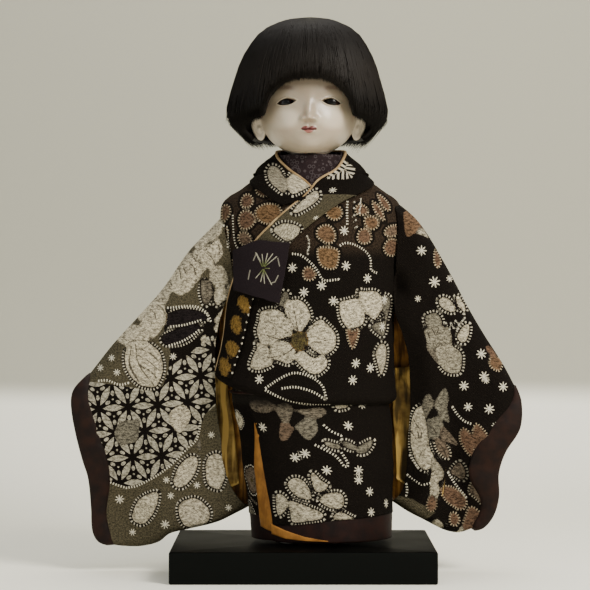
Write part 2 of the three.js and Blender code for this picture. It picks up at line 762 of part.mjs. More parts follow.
// Half thickness of the sleeve below the arm, thinner towards the hem
function sleeveHalf(v) {
  const thin = smooth((v - SLEEVE_ROUND.thinFrom) / SLEEVE_ROUND.thinOver);
  return mix(SLEEVE_TOP, SLEEVE.bottomThick, thin);
}

// Distance below the top and half thickness, from the top of the arm down to the hem
function sleeveProfile(count, tall, slant, inset) {
  const head = Math.round(count * SLEEVE_ROUND.head);
  const radius = SLEEVE_TOP - inset;
  return Array.from({ length: count + 1 }, (_, k) => {
    if (k <= head) {
      const a = (Math.PI / 2) * (k / head);
      return [(SLEEVE_TOP - radius * Math.cos(a)) / slant, radius * Math.sin(a)];
    }
    const t = (k - head) / (count - head);
    if (t === 1) return [tall - inset, 0];
    const deep = mix(SLEEVE_TOP / slant, tall - inset, t * 0.99);
    const share = t > SLEEVE_ROUND.hemFrom ? SLEEVE_ROUND.hemShare : 1;
    return [deep, sleeveHalf(deep / tall) * share - inset];
  });
}

// Section of the sleeve at s, pulled in by inset
function sleeveRing(form, s, inset, count, low = 1) {
  const top = sleevePlane(form, s, 0);
  const near = sleevePlane(form, s, 0.08);
  const hem = sleevePlane(form, s, low);
  const tall = Math.hypot(top[0] - hem[0], top[1] - hem[1]);
  const a = degrees(form.plan.angle);
  const down = Math.hypot(top[0] - near[0], top[1] - near[1]);
  const slant = ((top[0] - near[0]) * Math.sin(a) + (top[1] - near[1]) * Math.cos(a)) / down;
  const profile = sleeveProfile(count / 2, tall, slant, inset);
  const back = profile.slice(1, -1).reverse();
  const at = ([deep, half], face) => {
    const v = deep / tall;
    const [x, z] = sleevePlane(form, s, v * low);
    return [form.side * x, face * half + foldAt(form, s, v), z];
  };
  return [...profile.map((p) => at(p, -1)), ...back.map((p) => at(p, 1))];
}

// Folds that run down from the arm
function foldAt(form, s, v) {
  const depth = FOLD.depth * smooth((v - FOLD.from) / FOLD.over);
  return depth * Math.sin(2 * Math.PI * (FOLD.waves * s + FOLD.start + FOLD.lean * form.side));
}

function sleeveGeometry(form) {
  const layer = (inset) => span(SLEEVE.along, 0, 1).map((s) => sleeveRing(form, s, inset, SLEEVE.around));
  return wall(layer(0), layer(SLEEVE.cloth), true);
}

function liningRing(form, s, inset) {
  const ring = sleeveRing(form, Math.min(s, 1), inset, SLEEVE.around);
  if (s <= 1) return ring;
  const low = Math.min(...ring.map((p) => p[2]));
  const high = Math.max(...ring.map((p) => p[2]));
  return ring.map(([x, y, z]) => {
    const v = (high - z) / (high - low);
    const push = (s - 1) * CUFF_TRIM.reach * listAt(form.plan.band, v);
    return [x + form.side * push, y, z - push * (CUFF_TRIM.drop + CUFF_TRIM.slope * v)];
  });
}

function sleeveLiningGeometry(form) {
  const outer = SLEEVE.cloth + GAP * 1.5;
  const stations = [...span(SLEEVE.along, 0, 1).slice(1), ...CUFF_TRIM.stations];
  const layer = (inset) => stations.map((s) => liningRing(form, s, inset));
  return wall(layer(outer), layer(outer + SLEEVE.lining), true);
}

function innerSleeveGeometry(form) {
  const outer = SLEEVE.cloth + SLEEVE.lining + GAP * 3;
  const stations = span(INNER_SLEEVE.along, INNER_SLEEVE.start, INNER_SLEEVE.reach);
  const layer = (inset) =>
    stations.map((s) => sleeveRing(form, s, inset, SLEEVE.around, INNER_SLEEVE.low));
  return wall(layer(outer), layer(outer + SLEEVE.inner), true);
}

// Head

// Nose, bridge, eye sockets, cheeks, lips and chin, the same on both sides
function faceRelief(x, height) {
  const rise = ([out, side, level, wide, tall]) =>
    out * Math.exp(-(((Math.abs(x) - side) / wide) ** 2) - ((height - level) / tall) ** 2);
  return FACE.map(rise).reduce((sum, value) => sum + value);
}

function headGeometry(eyes) {
  const ring = (h) =>
    turn(32).map((a) => {
      const p = around(rowAt(HEAD, h), a, h);
      if (p[1] < 0) p[1] -= faceRelief(p[0], h) * smooth(-p[1] / 22);
      return p;
    });
  const crown = turn(32).map((a) => around(CROWN, a, SKULL_TOP));
  const skull = skin([...HEAD_LEVELS, ...CROWN_LEVELS].map(ring).concat([crown]));
  const neck = cylinder(NECK.radius, NECK_FLOOR, EYE.height, 0, 0, 32);
  const ears = [-1, 1].map((side) =>
    new THREE.SphereGeometry(1, 10, 8)
      .scale(EAR.thick, EAR.deep / 2, EAR.tall / 2)
      .rotateZ(side * -EAR.turn)
      .translate(side * EAR.side, EAR.behind, EAR.height),
  );
  const whole = join(skull, neck, ...ears);
  const sockets = eyes.map(({ x, y, z }) => ball(EYE.radius + GAP, x, y, z));
  const slits = eyes.map(({ x, y, z }) =>
    new THREE.CylinderGeometry(1, 1, 20, 16).scale(EYE.slitWide, 1, EYE.slitHigh).translate(x, y - 10, z),
  );
  return cut(whole, ...sockets, ...slits);
}

function eyePlaces() {
  return [-1, 1].map((side) => {
    const x = side * EYE.side;
    const [middle, wide, front] = rowAt(HEAD, EYE.height);
    const face = -front * Math.sqrt(1 - ((x - middle) / wide) ** 2);
    return { x, y: face + EYE.socket + EYE.set + EYE.radius, z: EYE.height };
  });
}

// Hair: a thick bob, hollow for the head, open over the face

function ringsOf(table, top, sides, levels) {
  const rings = levels.map((h) => turn(sides).map((a) => around(rowAt(table, h), a, h)));
  return rings.concat([turn(sides).map((a) => around(CROWN, a, top))]);
}

function hairGeometry() {
  const outer = skin(ringsOf(HAIR, HAIR_TOP, 32, HAIR_LEVELS));
  const above = HEAD.filter(([height]) => height > HAIR_INSIDE[HAIR_INSIDE.length - 1][0]);
  const grown = above.map(([h, middle, wide, front, back]) => [
    h,
    middle,
    wide + HAIR_THIN,
    front + HAIR_THIN,
    back + HAIR_THIN,
  ]);
  const hollow = skin(ringsOf([...HAIR_INSIDE, ...grown], SKULL_TOP + GAP * 2, 28, HOLLOW_LEVELS));
  const { side, curve, jawSide, jaw } = FRINGE;
  const bottom = EYE.height + FRINGE.above;
  const corner = EYE.height + FRINGE.cornerAbove;
  const arch = span(8, -1, 1).map((t) => [side * t, mix(bottom, corner, Math.abs(t) ** curve)]);
  const under = HAIR_INSIDE[0][0] - 10;
  const outline = [[-jawSide, jaw], [-jawSide, under], [jawSide, under], [jawSide, jaw]];
  const window = plate([...outline, ...arch.reverse()], -80, FRINGE.behind);
  return cut(outer, hollow, window);
}

// Materials

function finish(color, roughness, metalness = 0) {
  return new THREE.MeshStandardMaterial({ color, roughness, metalness });
}

const LACQUER = finish(0x1b1c1a, 0.35);
const STEEL = finish(0x8d8f92, 0.3, 1);
const BRASS = finish(0xa98a4a, 0.35, 1);
const SHELL_WHITE = finish(0xe6ddd0, 0.32);
const STUFFED = finish(0xd9cdb4, 0.9);
const SOCK = finish(0xe9e6dc, 0.85);
const GLASS = finish(0x1d120c, 0.08);
const HAIR_BLACK = finish(0x0d0b0a, 0.42);
const PURPLE_DARK = finish(0x231a22, 0.85);
const PRINT = finish(0x39332b, 0.9);
const PRINT_GREEN = finish(0x5a5a48, 0.9);
const ORANGE = finish(0xb8741c, 0.7);
const WINE = finish(0x3a1612, 0.75);
const BROWN = finish(0x2e1712, 0.8);
const CREAM_CORD = finish(0xcfc2a2, 0.85);

// The assembly

const object = new THREE.Group();
const doll = new THREE.Group();
doll.position.set(DOLL_SIDE, 0, BOARD.height);

function add(group, name, geometry, material) {
  const mesh = new THREE.Mesh(geometry, material);
  mesh.name = name;
  group.add(mesh);
}

add(object, "base_board", boardGeometry(), LACQUER);
add(object, "stand_rod", rodGeometry(), STEEL);
add(object, "rod_cap", rodCapGeometry(), BRASS);
add(object, "rod_nut", nutGeometry(), STEEL);
object.add(doll);

add(doll, "chest", chestGeometry(), SHELL_WHITE);
add(doll, "midriff", midriffGeometry(), STUFFED);
add(doll, "hips", hipsGeometry(), SHELL_WHITE);
for (const [name, side] of [["right", -1], ["left", 1]]) {
  add(doll, `thigh_${name}`, thighGeometry(side * LEG.side), STUFFED);
  add(doll, `shin_${name}`, shinGeometry(side * LEG.side), SHELL_WHITE);
  add(doll, `sock_foot_${name}`, footGeometry(side * LEG.side), SOCK);
}

const eyes = eyePlaces();
add(doll, "head", headGeometry(eyes), SHELL_WHITE);
add(doll, "eye_right", ball(EYE.radius, eyes[0].x, eyes[0].y, eyes[0].z), GLASS);
add(doll, "eye_left", ball(EYE.radius, eyes[1].x, eyes[1].y, eyes[1].z), GLASS);
add(doll, "hair", hairGeometry(), HAIR_BLACK);

add(doll, "inner_collar", innerCollarGeometry(), PURPLE_DARK);
add(doll, "robe_body", bodiceGeometry(), PRINT);
add(doll, "robe_collar", collarGeometry(), PRINT_GREEN);
add(doll, "felt_patch", patchGeometry(), PURPLE_DARK);
add(doll, "waist_cord", cordGeometry(), CREAM_CORD);
add(doll, "robe_skirt", skirtSheet(SKIRT_ROWS, WRAPS, 0, SKIRT.cloth), PRINT);
const facingRows = span(2, SKIRT.facing, SKIRT.hem - GAP);
add(doll, "hem_facing", skirtSheet(facingRows, WRAPS, 0, SKIRT.cloth), WINE);
const liningRows = [SKIRT.facing, mix(SKIRT.facing, SKIRT.hem, 0.5), ...SKIRT_ROWS];
const liningWraps = [-SKIRT.strip, ...WRAPS];
const skirtLining = skirtSheet(liningRows, liningWraps, LINING_OUT, LINING_OUT + SKIRT.lining);
add(doll, "skirt_lining", skirtLining, ORANGE);
add(doll, "under_robe", underRobeGeometry(), WINE);

for (const [name, side, plan] of [["right", -1, RIGHT_SLEEVE], ["left", 1, LEFT_SLEEVE]]) {
  const form = sleeveForm(side, plan);
  add(doll, `upper_arm_${name}`, upperArmGeometry(side, plan), STUFFED);
  add(doll, `forearm_${name}`, forearmGeometry(side, plan), SHELL_WHITE);
  add(doll, `sleeve_${name}`, sleeveGeometry(form), PRINT);
  add(doll, `sleeve_lining_${name}`, sleeveLiningGeometry(form), BROWN);
  add(doll, `inner_sleeve_${name}`, innerSleeveGeometry(sleeveForm(side, plan, 0)), ORANGE);
}

export default object;
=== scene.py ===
# %% [markdown]
# # An ichimatsu doll on a lacquered board
#
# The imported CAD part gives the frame: where each body sits and how it moves. This lesson dresses it:
# a printed robe with long sleeves, linings that show at the edges, a bob of combed hair, a painted
# face with glass eyes, and a board of black lacquer. All sizes are in millimetres until a mesh is made.

import json
import math

import bpy
import numpy as np
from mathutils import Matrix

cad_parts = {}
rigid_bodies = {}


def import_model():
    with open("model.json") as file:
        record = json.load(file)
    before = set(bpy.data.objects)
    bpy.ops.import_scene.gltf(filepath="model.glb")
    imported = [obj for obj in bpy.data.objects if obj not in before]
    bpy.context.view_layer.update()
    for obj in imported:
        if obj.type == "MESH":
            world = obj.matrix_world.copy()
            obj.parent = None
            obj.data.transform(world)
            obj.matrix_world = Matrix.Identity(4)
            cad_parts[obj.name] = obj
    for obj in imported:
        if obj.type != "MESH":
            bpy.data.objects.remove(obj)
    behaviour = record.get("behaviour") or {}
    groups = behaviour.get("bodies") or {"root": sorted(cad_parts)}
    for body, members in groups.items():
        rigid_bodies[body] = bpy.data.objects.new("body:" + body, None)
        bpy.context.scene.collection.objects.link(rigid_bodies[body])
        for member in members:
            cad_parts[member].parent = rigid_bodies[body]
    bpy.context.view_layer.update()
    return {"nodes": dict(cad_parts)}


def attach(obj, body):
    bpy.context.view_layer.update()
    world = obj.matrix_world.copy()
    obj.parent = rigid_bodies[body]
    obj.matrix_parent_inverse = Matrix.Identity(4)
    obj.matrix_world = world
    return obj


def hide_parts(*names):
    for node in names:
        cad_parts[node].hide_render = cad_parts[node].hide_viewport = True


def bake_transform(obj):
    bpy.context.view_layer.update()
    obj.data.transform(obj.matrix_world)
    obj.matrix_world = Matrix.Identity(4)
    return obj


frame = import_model()

# %% [markdown]
# ## Numbers to points
#
# The doll stands 5.5 mm beside the board's middle and 21.7 mm above the table. Tables give the robe,
# the skirt, the head and the hair as egg-shaped level sections: height, middle, half width, front and
# back. Between the rows each column follows a cubic whose slopes come from the neighbouring rows.

# %% Curves and tables
SIDE, BOARD_TOP = 5.5, 21.7


def smooth(value, low=0.0, high=1.0):
    """Rises from 0 to 1 between low and high, level at both ends: 3t^2 - 2t^3."""
    t = np.clip((np.asarray(value, float) - low) / (high - low), 0, 1)
    return t * t * (3 - 2 * t)


def table_at(table, height):
    """Rows of a table read at any height: a cubic between rows, with slopes taken across the neighbours."""
    table = np.asarray(table, float)
    h = np.clip(np.asarray(height, float), table[0, 0], table[-1, 0])
    last = len(table) - 1
    k = np.clip(np.searchsorted(table[:, 0], h, side="right") - 1, 0, last - 1)

    def slope(row):
        a, b = table[np.maximum(row - 1, 0)], table[np.minimum(row + 1, last)]
        return (b[..., 1:] - a[..., 1:]) / (b[..., :1] - a[..., :1])

    start, end = table[k], table[k + 1]
    span = end[..., :1] - start[..., :1]
    t = (h[..., None] - start[..., :1]) / span
    t2, t3 = t * t, t * t * t
    return (
        (2 * t3 - 3 * t2 + 1) * start[..., 1:]
        + (t3 - 2 * t2 + t) * slope(k) * span
        + (3 * t2 - 2 * t3) * end[..., 1:]
        + (t3 - t2) * slope(k + 1) * span
    )


def lists(text, wide=None):
    """Lists of numbers written as text and parted by strokes, each in rows of so many numbers if asked."""
    parts = [[float(n) for n in part.replace(",", " ").split()] for part in text.split("/")]
    return [np.reshape(part, (-1, wide)) for part in parts] if wide else parts


def curve(points, share):
    """A rounded line through points, read at shares of its length from 0 to 1."""
    points = np.asarray(points, float)
    chord = np.r_[0, np.cumsum(np.linalg.norm(np.diff(points, axis=0), axis=1))]
    fine = table_at(np.c_[chord, points], np.linspace(0, chord[-1], 500))
    length = np.r_[0, np.cumsum(np.linalg.norm(np.diff(fine, axis=0), axis=1))]
    want = np.asarray(share, float) * length[-1]
    return np.stack([np.interp(want, length, fine[:, k]) for k in range(points.shape[1])], -1)


def egg(form, angle, height, out=0.0):
    """Level section: angle 0 is +X, 90 the back, 270 the front; the front and back halves differ in depth."""
    a = np.radians(angle)
    deep = np.where(np.sin(a) < 0, form[..., 2], form[..., 3])
    x = form[..., 0] + (form[..., 1] + out) * np.cos(a)
    return np.stack(np.broadcast_arrays(x, (deep + out) * np.sin(a), height), -1)


def waves(u, v, size, seed, rows=3):
    """Soft unevenness between -1 and 1: a few slanted sine waves whose lengths are near size."""
    source = np.random.default_rng(seed)
    total = np.zeros(np.broadcast(u, v).shape)
    for _ in range(rows):
        a = source.uniform(0, 2 * math.pi)
        length = size * source.uniform(0.7, 1.5)
        total = total + np.sin((u * math.cos(a) + v * math.sin(a)) * 2 * math.pi / length + source.uniform(0, 6.3))
    return total / rows


# %% [markdown]
# ## Meshes from grids
#
# Every piece below is a grid of points in rows: a sheet of cloth, or rings stacked into a closed form. Blender's
# modelling tools could shape them one at a time. Building each mesh from its grid is quicker, and the
# measures in the script stay the measures of the doll.

# %% Meshes from grids of points
def make_object(name, points, faces, body, replaced=(), smooth_shade=True):
    """One mesh object from points in mm and faces as rows of 3 or 4 indices, moving with a CAD body."""
    mesh = bpy.data.meshes.new(name)
    points = np.asarray(points, float).reshape(-1, 3) / 1000
    groups = faces if isinstance(faces, list) else [faces]
    sizes = np.concatenate([np.full(len(f), f.shape[1]) for f in groups])
    corners = np.concatenate([f.reshape(-1) for f in groups]).astype(np.int32)
    mesh.vertices.add(len(points))
    mesh.vertices.foreach_set("co", points.reshape(-1))
    mesh.loops.add(len(corners))
    mesh.loops.foreach_set("vertex_index", corners)
    mesh.polygons.add(len(sizes))
    mesh.polygons.foreach_set("loop_start", np.r_[0, np.cumsum(sizes)[:-1]].astype(np.int32))
    mesh.polygons.foreach_set("use_smooth", np.full(len(sizes), smooth_shade))
    mesh.update(calc_edges=True)
    mesh.validate()
    obj = bpy.data.objects.new(name, mesh)
    bpy.context.scene.collection.objects.link(obj)
    if body:
        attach(obj, body)
    if replaced:
        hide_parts(*replaced)
    return obj


def grid_faces(rows, columns, closed=False, first=0, flip=False):
    """Quads of a grid of points, closed round its columns if asked."""
    i = np.arange(rows - 1)[:, None]
    j = np.arange(columns if closed else columns - 1)[None, :]
    a = first + i * columns + j
    b = first + i * columns + (j + 1) % columns
    quads = np.stack([a, b, b + columns, a + columns], -1).reshape(-1, 4)
    return quads[:, ::-1] if flip else quads


def thick_sheet(outer, inner, closed=False):
    """Points and quads of a closed sheet: the outer grid, the inner grid turned over, and the rim between."""
    rows, columns = outer.shape[:2]
    total = rows * columns
    quads = [grid_faces(rows, columns, closed), grid_faces(rows, columns, closed, total, True)]
    j = np.arange(columns if closed else columns - 1)
    k = (j + 1) % columns
    top = (rows - 1) * columns
    quads.append(np.stack([k, j, j + total, k + total], -1))
    quads.append(np.stack([top + j, top + k, top + k + total, top + j + total], -1))
    if not closed:
        i = np.arange(rows - 1) * columns
        e = i + columns - 1
        quads.append(np.stack([i, i + columns, i + columns + total, i + total], -1))
        quads.append(np.stack([e + columns, e, e + total, e + columns + total], -1))
    kinds = np.concatenate([np.full(len(q), n) for n, q in zip((0, 1, 2, 2, 2, 2), quads)])
    return np.concatenate([outer.reshape(-1, 3), inner.reshape(-1, 3)]), np.concatenate(quads), kinds


def normals(grid, closed=False):
    """Unit normals of a grid of points, from the lines to its neighbours."""
    down = np.gradient(grid, axis=0)
    if closed:
        side = np.roll(grid, -1, axis=1) - np.roll(grid, 1, axis=1)
    else:
        side = np.gradient(grid, axis=1)
    n = np.cross(side, down)
    return n / np.maximum(np.linalg.norm(n, axis=-1, keepdims=True), 1e-9)


def cloth(name, outer, thickness, body, materials, replaced=(), closed=False, flip=False, marks=None):
    """A sheet of cloth from its outer surface: materials are for its outside, its inside and its rim.
    marks are named numbers for each point of the surface, which the print reads."""
    inward = -normals(outer, closed) * (-1 if flip else 1)
    points, quads, kinds = thick_sheet(outer, outer + inward * thickness, closed)
    if flip:
        quads = quads[:, ::-1]
    obj = make_object(name, points, quads, body, replaced)
    for material in materials:
        obj.data.materials.append(material)
    obj.data.polygons.foreach_set("material_index", np.minimum(kinds, len(materials) - 1).astype(np.int32))
    for key, values in (marks or {}).items():
        attribute = obj.data.attributes.new(key, "FLOAT_VECTOR", "POINT")
        attribute.data.foreach_set("vector", np.concatenate([values.reshape(-1, 3)] * 2).reshape(-1))
    return obj


def place(points):
    """From the doll's own millimetres to the frame's."""
    return np.asarray(points, float) + np.array([SIDE, 0, BOARD_TOP])


# %% [markdown]
# ## Materials from arithmetic
#
# A small wrapper turns Python arithmetic into shader nodes, so that each material reads like its formula.
# Prints and textures are computed from object coordinates in millimetres, or from numbers stored on the
# points of a cloth.

# %% A wrapper that writes shader nodes
class Num:
    """A number inside a material: arithmetic on it adds a math node."""

    def __init__(self, paint, socket):
        self.paint, self.socket = paint, socket

    def math(self, operation, *others):
        node = self.paint.tree.nodes.new("ShaderNodeMath")
        node.operation = operation
        for k, value in enumerate((self, *others)):
            self.paint.connect(value, node.inputs[k])
        return Num(self.paint, node.outputs[0])

    def __add__(self, other):
        return self.math("ADD", other)

    def __sub__(self, other):
        return self.math("SUBTRACT", other)

    def __rsub__(self, other):
        return (self * -1.0).math("ADD", other)

    def __mul__(self, other):
        return self.math("MULTIPLY", other)

    def __truediv__(self, other):
        return self.math("DIVIDE", other)

    __radd__, __rmul__ = __add__, __mul__

    def step(self, low, high):
        """0 below low and 1 above high, with a soft rise between; falls instead where low is above high."""
        node = self.paint.tree.nodes.new("ShaderNodeMapRange")
        node.interpolation_type = "SMOOTHSTEP"
        rising = high > low
        for key, value in (("Value", self), ("From Min", min(low, high)), ("From Max", max(low, high)),
                           ("To Min", 0.0 if rising else 1.0), ("To Max", 1.0 if rising else 0.0)):
            self.paint.connect(value, node.inputs[key])
        return Num(self.paint, node.outputs[0])


def shader_function(operation):
    """One of the shader's own functions, called like a function of Python."""
    return lambda first, *others: first.math(operation, *others)


sine, cosine, size_of, root = (shader_function(k) for k in ("SINE", "COSINE", "ABSOLUTE", "SQRT"))
part_of, whole, power, turn_of = (shader_function(k) for k in ("FRACT", "ROUND", "POWER", "ARCTAN2"))
least, most = (shader_function(k) for k in ("MINIMUM", "MAXIMUM"))


# %% The painter of one material
class Paint:
    """A material whose tree is written by the lines of one function."""

    def __init__(self, name):
        self.material = bpy.data.materials.new(name)
        self.material.use_nodes = True
        self.tree = self.material.node_tree
        self.shader = self.tree.nodes["Principled BSDF"]

    def connect(self, value, socket):
        if isinstance(value, Num):
            self.tree.links.new(value.socket, socket)
        elif isinstance(value, bpy.types.NodeSocket):
            self.tree.links.new(value, socket)
        elif isinstance(value, (tuple, list)) and len(value) == 3 and socket.type == "RGBA":
            socket.default_value = (*value, 1)
        else:
            socket.default_value = value

    def split(self, socket):
        node = self.tree.nodes.new("ShaderNodeSeparateXYZ")
        self.tree.links.new(socket, node.inputs[0])
        return [Num(self, out) for out in node.outputs]

    def place(self):
        """Object coordinates in millimetres, as three numbers."""
        return [axis * 1000.0 for axis in self.split(self.tree.nodes.new("ShaderNodeTexCoord").outputs["Object"])]

    def mark(self, name):
        """Three numbers stored on the points of the mesh under that name."""
        node = self.tree.nodes.new("ShaderNodeAttribute")
        node.attribute_name = name
        return self.split(node.outputs["Vector"])

    def vector(self, x, y, z=0.0):
        node = self.tree.nodes.new("ShaderNodeCombineXYZ")
        for value, socket in zip((x, y, z), node.inputs):
            self.connect(value, socket)
        return node.outputs[0]

    def noise(self, vector, scale=1.0, detail=2.0, roughness=0.5):
        """Cloudy noise between 0 and 1, of the given number of clouds per unit."""
        node = self.tree.nodes.new("ShaderNodeTexNoise")
        self.tree.links.new(vector, node.inputs["Vector"])
        for key, value in (("Scale", scale), ("Detail", detail), ("Roughness", roughness)):
            node.inputs[key].default_value = value
        return Num(self, node.outputs[0])

    def cells(self, vector, scale=1.0):
        node = self.tree.nodes.new("ShaderNodeTexVoronoi")
        self.tree.links.new(vector, node.inputs["Vector"])
        node.inputs["Scale"].default_value = scale
        return Num(self, node.outputs["Distance"])

    def mix(self, share, first, second):
        """Colour between first and second."""
        node = self.tree.nodes.new("ShaderNodeMix")
        node.data_type = "RGBA"
        for value, socket in ((share, 0), (first, 6), (second, 7)):
            self.connect(value, node.inputs[socket])
        return node.outputs[2]

    def finish(self, color, roughness, height=None, depth=0.2, **constants):
        """Connects colour, roughness and relief (depth in millimetres), and sets the constant inputs."""
        self.connect(color, self.shader.inputs["Base Color"])
        self.connect(roughness, self.shader.inputs["Roughness"])
        if height is not None:
            bump = self.tree.nodes.new("ShaderNodeBump")
            bump.inputs["Strength"].default_value = 1.0
            bump.inputs["Distance"].default_value = depth / 1000
            self.tree.links.new(height.socket, bump.inputs["Height"])
            self.tree.links.new(bump.outputs[0], self.shader.inputs["Normal"])
        for key, value in constants.items():
            self.shader.inputs[key.replace("_", " ")].default_value = value
        return self.material


# %% [markdown]
# ## Plain materials
#
# Lacquer, silk, cotton, shell white and metal need no pictures. Each is a base colour with a little noise in
# colour, gloss and height, so that no surface is quite even.

# %% Plain materials
def lacquer():
    """Black lacquer gone half matt: faint dust and long polishing waves, and the top face painted darker as painted
    shade.
    """
    p = Paint("black_lacquer")
    x, y, z = p.place()
    here = p.vector(x, y, z)
    dust = p.noise(here, 1.6, 4).step(0.62, 0.8)
    haze = p.noise(p.vector(x * 0.2, y * 0.2, z), 0.12, 3)
    color = p.mix(dust * 0.25, (0.0042, 0.0047, 0.0042), (0.02, 0.021, 0.018))
    # painted shade: the board's top face is given a darker black than its sides
    color = p.mix(z.step(20.8, 21.6), color, (0.0012, 0.0012, 0.001))
    return p.finish(color, haze * 0.14 + 0.42 + dust * 0.12, p.noise(here, 0.03, 1), 0.3, Specular_IOR_Level=0.02)


def silk(name, dark, light, shine=0.45, folds=0.0):
    """Smooth silk: fine crosswise threads, uneven dye, a soft sheen; a lining also has long upright folds, painted
    into its colour as painted shade in their hollows and painted highlight on their ridges.
    """
    p = Paint(name)
    x, y, z = p.place()
    here = p.vector(x, y, z)
    cloud = p.noise(here, 0.12, 3)
    thread = sine(z * 9.0 + p.noise(here, 0.3, 2) * 5.0) * 0.25 + sine((x + y * 0.6) * 8.0) * 0.25 + 0.5
    color = p.mix(cloud.step(0.3, 0.72) * 0.8 + thread * 0.2, dark, light)
    if folds:
        # painted shade and painted highlight: the folds are not in the mesh, only dark hollows and light ridges
        # painted into the colour
        painted_fold_light = p.noise(p.vector(x * 0.17, y * 0.17, z * 0.016), 1.0, 2, 0.5)
        color = p.mix(painted_fold_light.step(0.5, 0.4) * folds, color, tuple(0.08 * c for c in light))
        color = p.mix(painted_fold_light.step(0.54, 0.62) * folds, color, tuple(min(1.6 * c, 1.0) for c in light))
    return p.finish(color, shine + cloud * 0.2, thread + p.noise(here, 0.9, 2), 0.06,
                    Sheen_Weight=0.02, Sheen_Roughness=0.4, Specular_IOR_Level=0.14)


def plain_weave(name, dark, light, thread=4.2, depth=0.12):
    """Cotton or wool: crossed threads with small slubs."""
    p = Paint(name)
    x, y, z = p.place()
    here = p.vector(x, y, z)
    weave = sine(x * thread + y * thread) * sine(z * thread)
    slub = p.noise(here, 0.9, 3)
    color = p.mix(slub.step(0.25, 0.75), dark, light)
    return p.finish(color, slub * 0.1 + 0.82, weave * 0.5 + slub, depth,
                    Sheen_Weight=0.08, Sheen_Roughness=0.6, Specular_IOR_Level=0.2)


def metal(name, color, roughness):
    """Drawn metal: fine lines along its length over a slightly clouded polish."""
    p = Paint(name)
    x, y, z = p.place()
    lines = p.noise(p.vector(x * 3.0, y * 3.0, z * 0.15), 1.2, 2)
    shade = p.mix(lines * 0.5, color, tuple(v * 0.7 for v in color))
    return p.finish(shade, lines * 0.18 + roughness, lines, 0.02, Metallic=1.0)


# %% [markdown]
# ## The printed cloth
#
# The cloth is a dark resist print: cream blossoms and leaves drawn with stitched outlines, small stars,
# lines of dashes, an olive ground in places and a lattice of lenses. Each point of a cloth stores where
# it lies inside the nearest blossom, leaf or star, in that motif's own coordinates. The shader draws the
# motif from those numbers, so its edge stays sharp however coarse the mesh is.


# %% Motifs stored on the points of a cloth
FAR = 99.0


def stamp(key, u, v, motifs, reach=1.6):
    """Marks for one layer of motifs. A motif is (u, v, half length, half width, turn, petals, tone): every
    point keeps its place inside the nearest one, that motif's petals and tone, and how clear the choice is."""
    m = np.asarray(motifs, float)
    shape = u.shape
    a = np.radians(m[:, 4])
    best, second = np.full(u.size, FAR), np.full(u.size, FAR)
    at, kind = np.zeros((u.size, 3)), np.zeros((u.size, 3))
    for k, (mu, mv, long, wide, _, petals, tone) in enumerate(m):
        du, dv = u.ravel() - mu, v.ravel() - mv
        x = (du * math.cos(a[k]) + dv * math.sin(a[k])) / long
        y = (dv * math.cos(a[k]) - du * math.sin(a[k])) / wide
        far = np.hypot(x, y)
        closer = far < best
        second = np.where(closer, best, np.minimum(second, far))
        best = np.where(closer, far, best)
        at[closer] = np.stack([x, y, np.full_like(x, (k * 0.37) % 1)], -1)[closer]
        kind[closer, 0], kind[closer, 1] = petals, tone
    kind[:, 2] = np.where(best < reach, np.clip(second - best, 0, 1), 0)
    return {key + "_at": at.reshape(*shape, 3), key + "_is": kind.reshape(*shape, 3)}


# %% Distances to drawn lines and outlines
def nearest(u, v, points):
    """How far places lie from a line through points, how far along it their nearest place is, and, for a line
    whose last point is its first, whether they lie inside it."""
    far, along, run, within = np.full(u.shape, 1e9), np.zeros(u.shape), 0.0, np.zeros(u.shape, bool)
    for (a, b), (c, d) in zip(points[:-1], points[1:]):
        length = math.hypot(c - a, d - b)
        t = np.clip(((u - a) * (c - a) + (v - b) * (d - b)) / length**2, 0, 1)
        gap = np.hypot(u - a - t * (c - a), v - b - t * (d - b))
        along = np.where(gap < far, run + t * length, along)
        far = np.minimum(gap, far)
        crosses = (b > v) != (d > v)
        within ^= crosses & (u < a + (v - b) / np.where(crosses, d - b, 1) * (c - a))
        run += length
    return far, along, within


def inside(u, v, outline):
    """Signed distance in millimetres to a closed outline, positive inside it."""
    far, _, within = nearest(u, v, [*outline, outline[0]])
    return np.where(within, far, -far)


def stitch_lines(u, v, lines, key="stitch"):
    """Marks for lines of stitches or of ink: distance from the nearest line, distance along it, and how
    clear it is."""
    best, second, along = np.full(u.shape, FAR), np.full(u.shape, FAR), np.zeros(u.shape)
    for line in lines:
        far, run, _ = nearest(u, v, curve(line, np.linspace(0, 1, 14)))
        closer = far < best
        second = np.where(closer, best, np.minimum(second, far))
        best, along = np.where(closer, far, best), np.where(closer, run, along)
    return {key: np.stack([best, along, np.clip(second - best, 0, 1)], -1)}


def closed_line(points, fine=4):
    """A smooth closed line through points: each piece is a cubic of the four points round it."""
    p = np.reshape(np.asarray(points, float), (-1, 2))
    t = np.linspace(0, 1, fine, endpoint=False)[:, None]
    a, b, c, d = (np.roll(p, k, axis=0)[:, None] for k in (1, 0, -1, -2))
    cubic = (2 * a - 5 * b + 4 * c - d) * t**2 + (3 * b - a - 3 * c + d) * t**3
    return ((2 * b + (c - a) * t + cubic) / 2).reshape(-1, 2)


def oval(tone, ring, x, z, long, wide=None, turn=0.0):
    """The outline of an uneven oval patch."""
    a = np.arange(9) / 9 * 2 * math.pi
    size = 1 + 0.09 * np.sin(a * 2 + x) + 0.06 * np.cos(a * 3 + z)
    px, pz, t = long * np.cos(a) * size, (wide or long * 0.94) * np.sin(a) * size, math.radians(turn)
    across, up = px * math.cos(t) - pz * math.sin(t), px * math.sin(t) + pz * math.cos(t)
    return (tone, ring, *np.stack([x + across, z + up], -1).ravel())


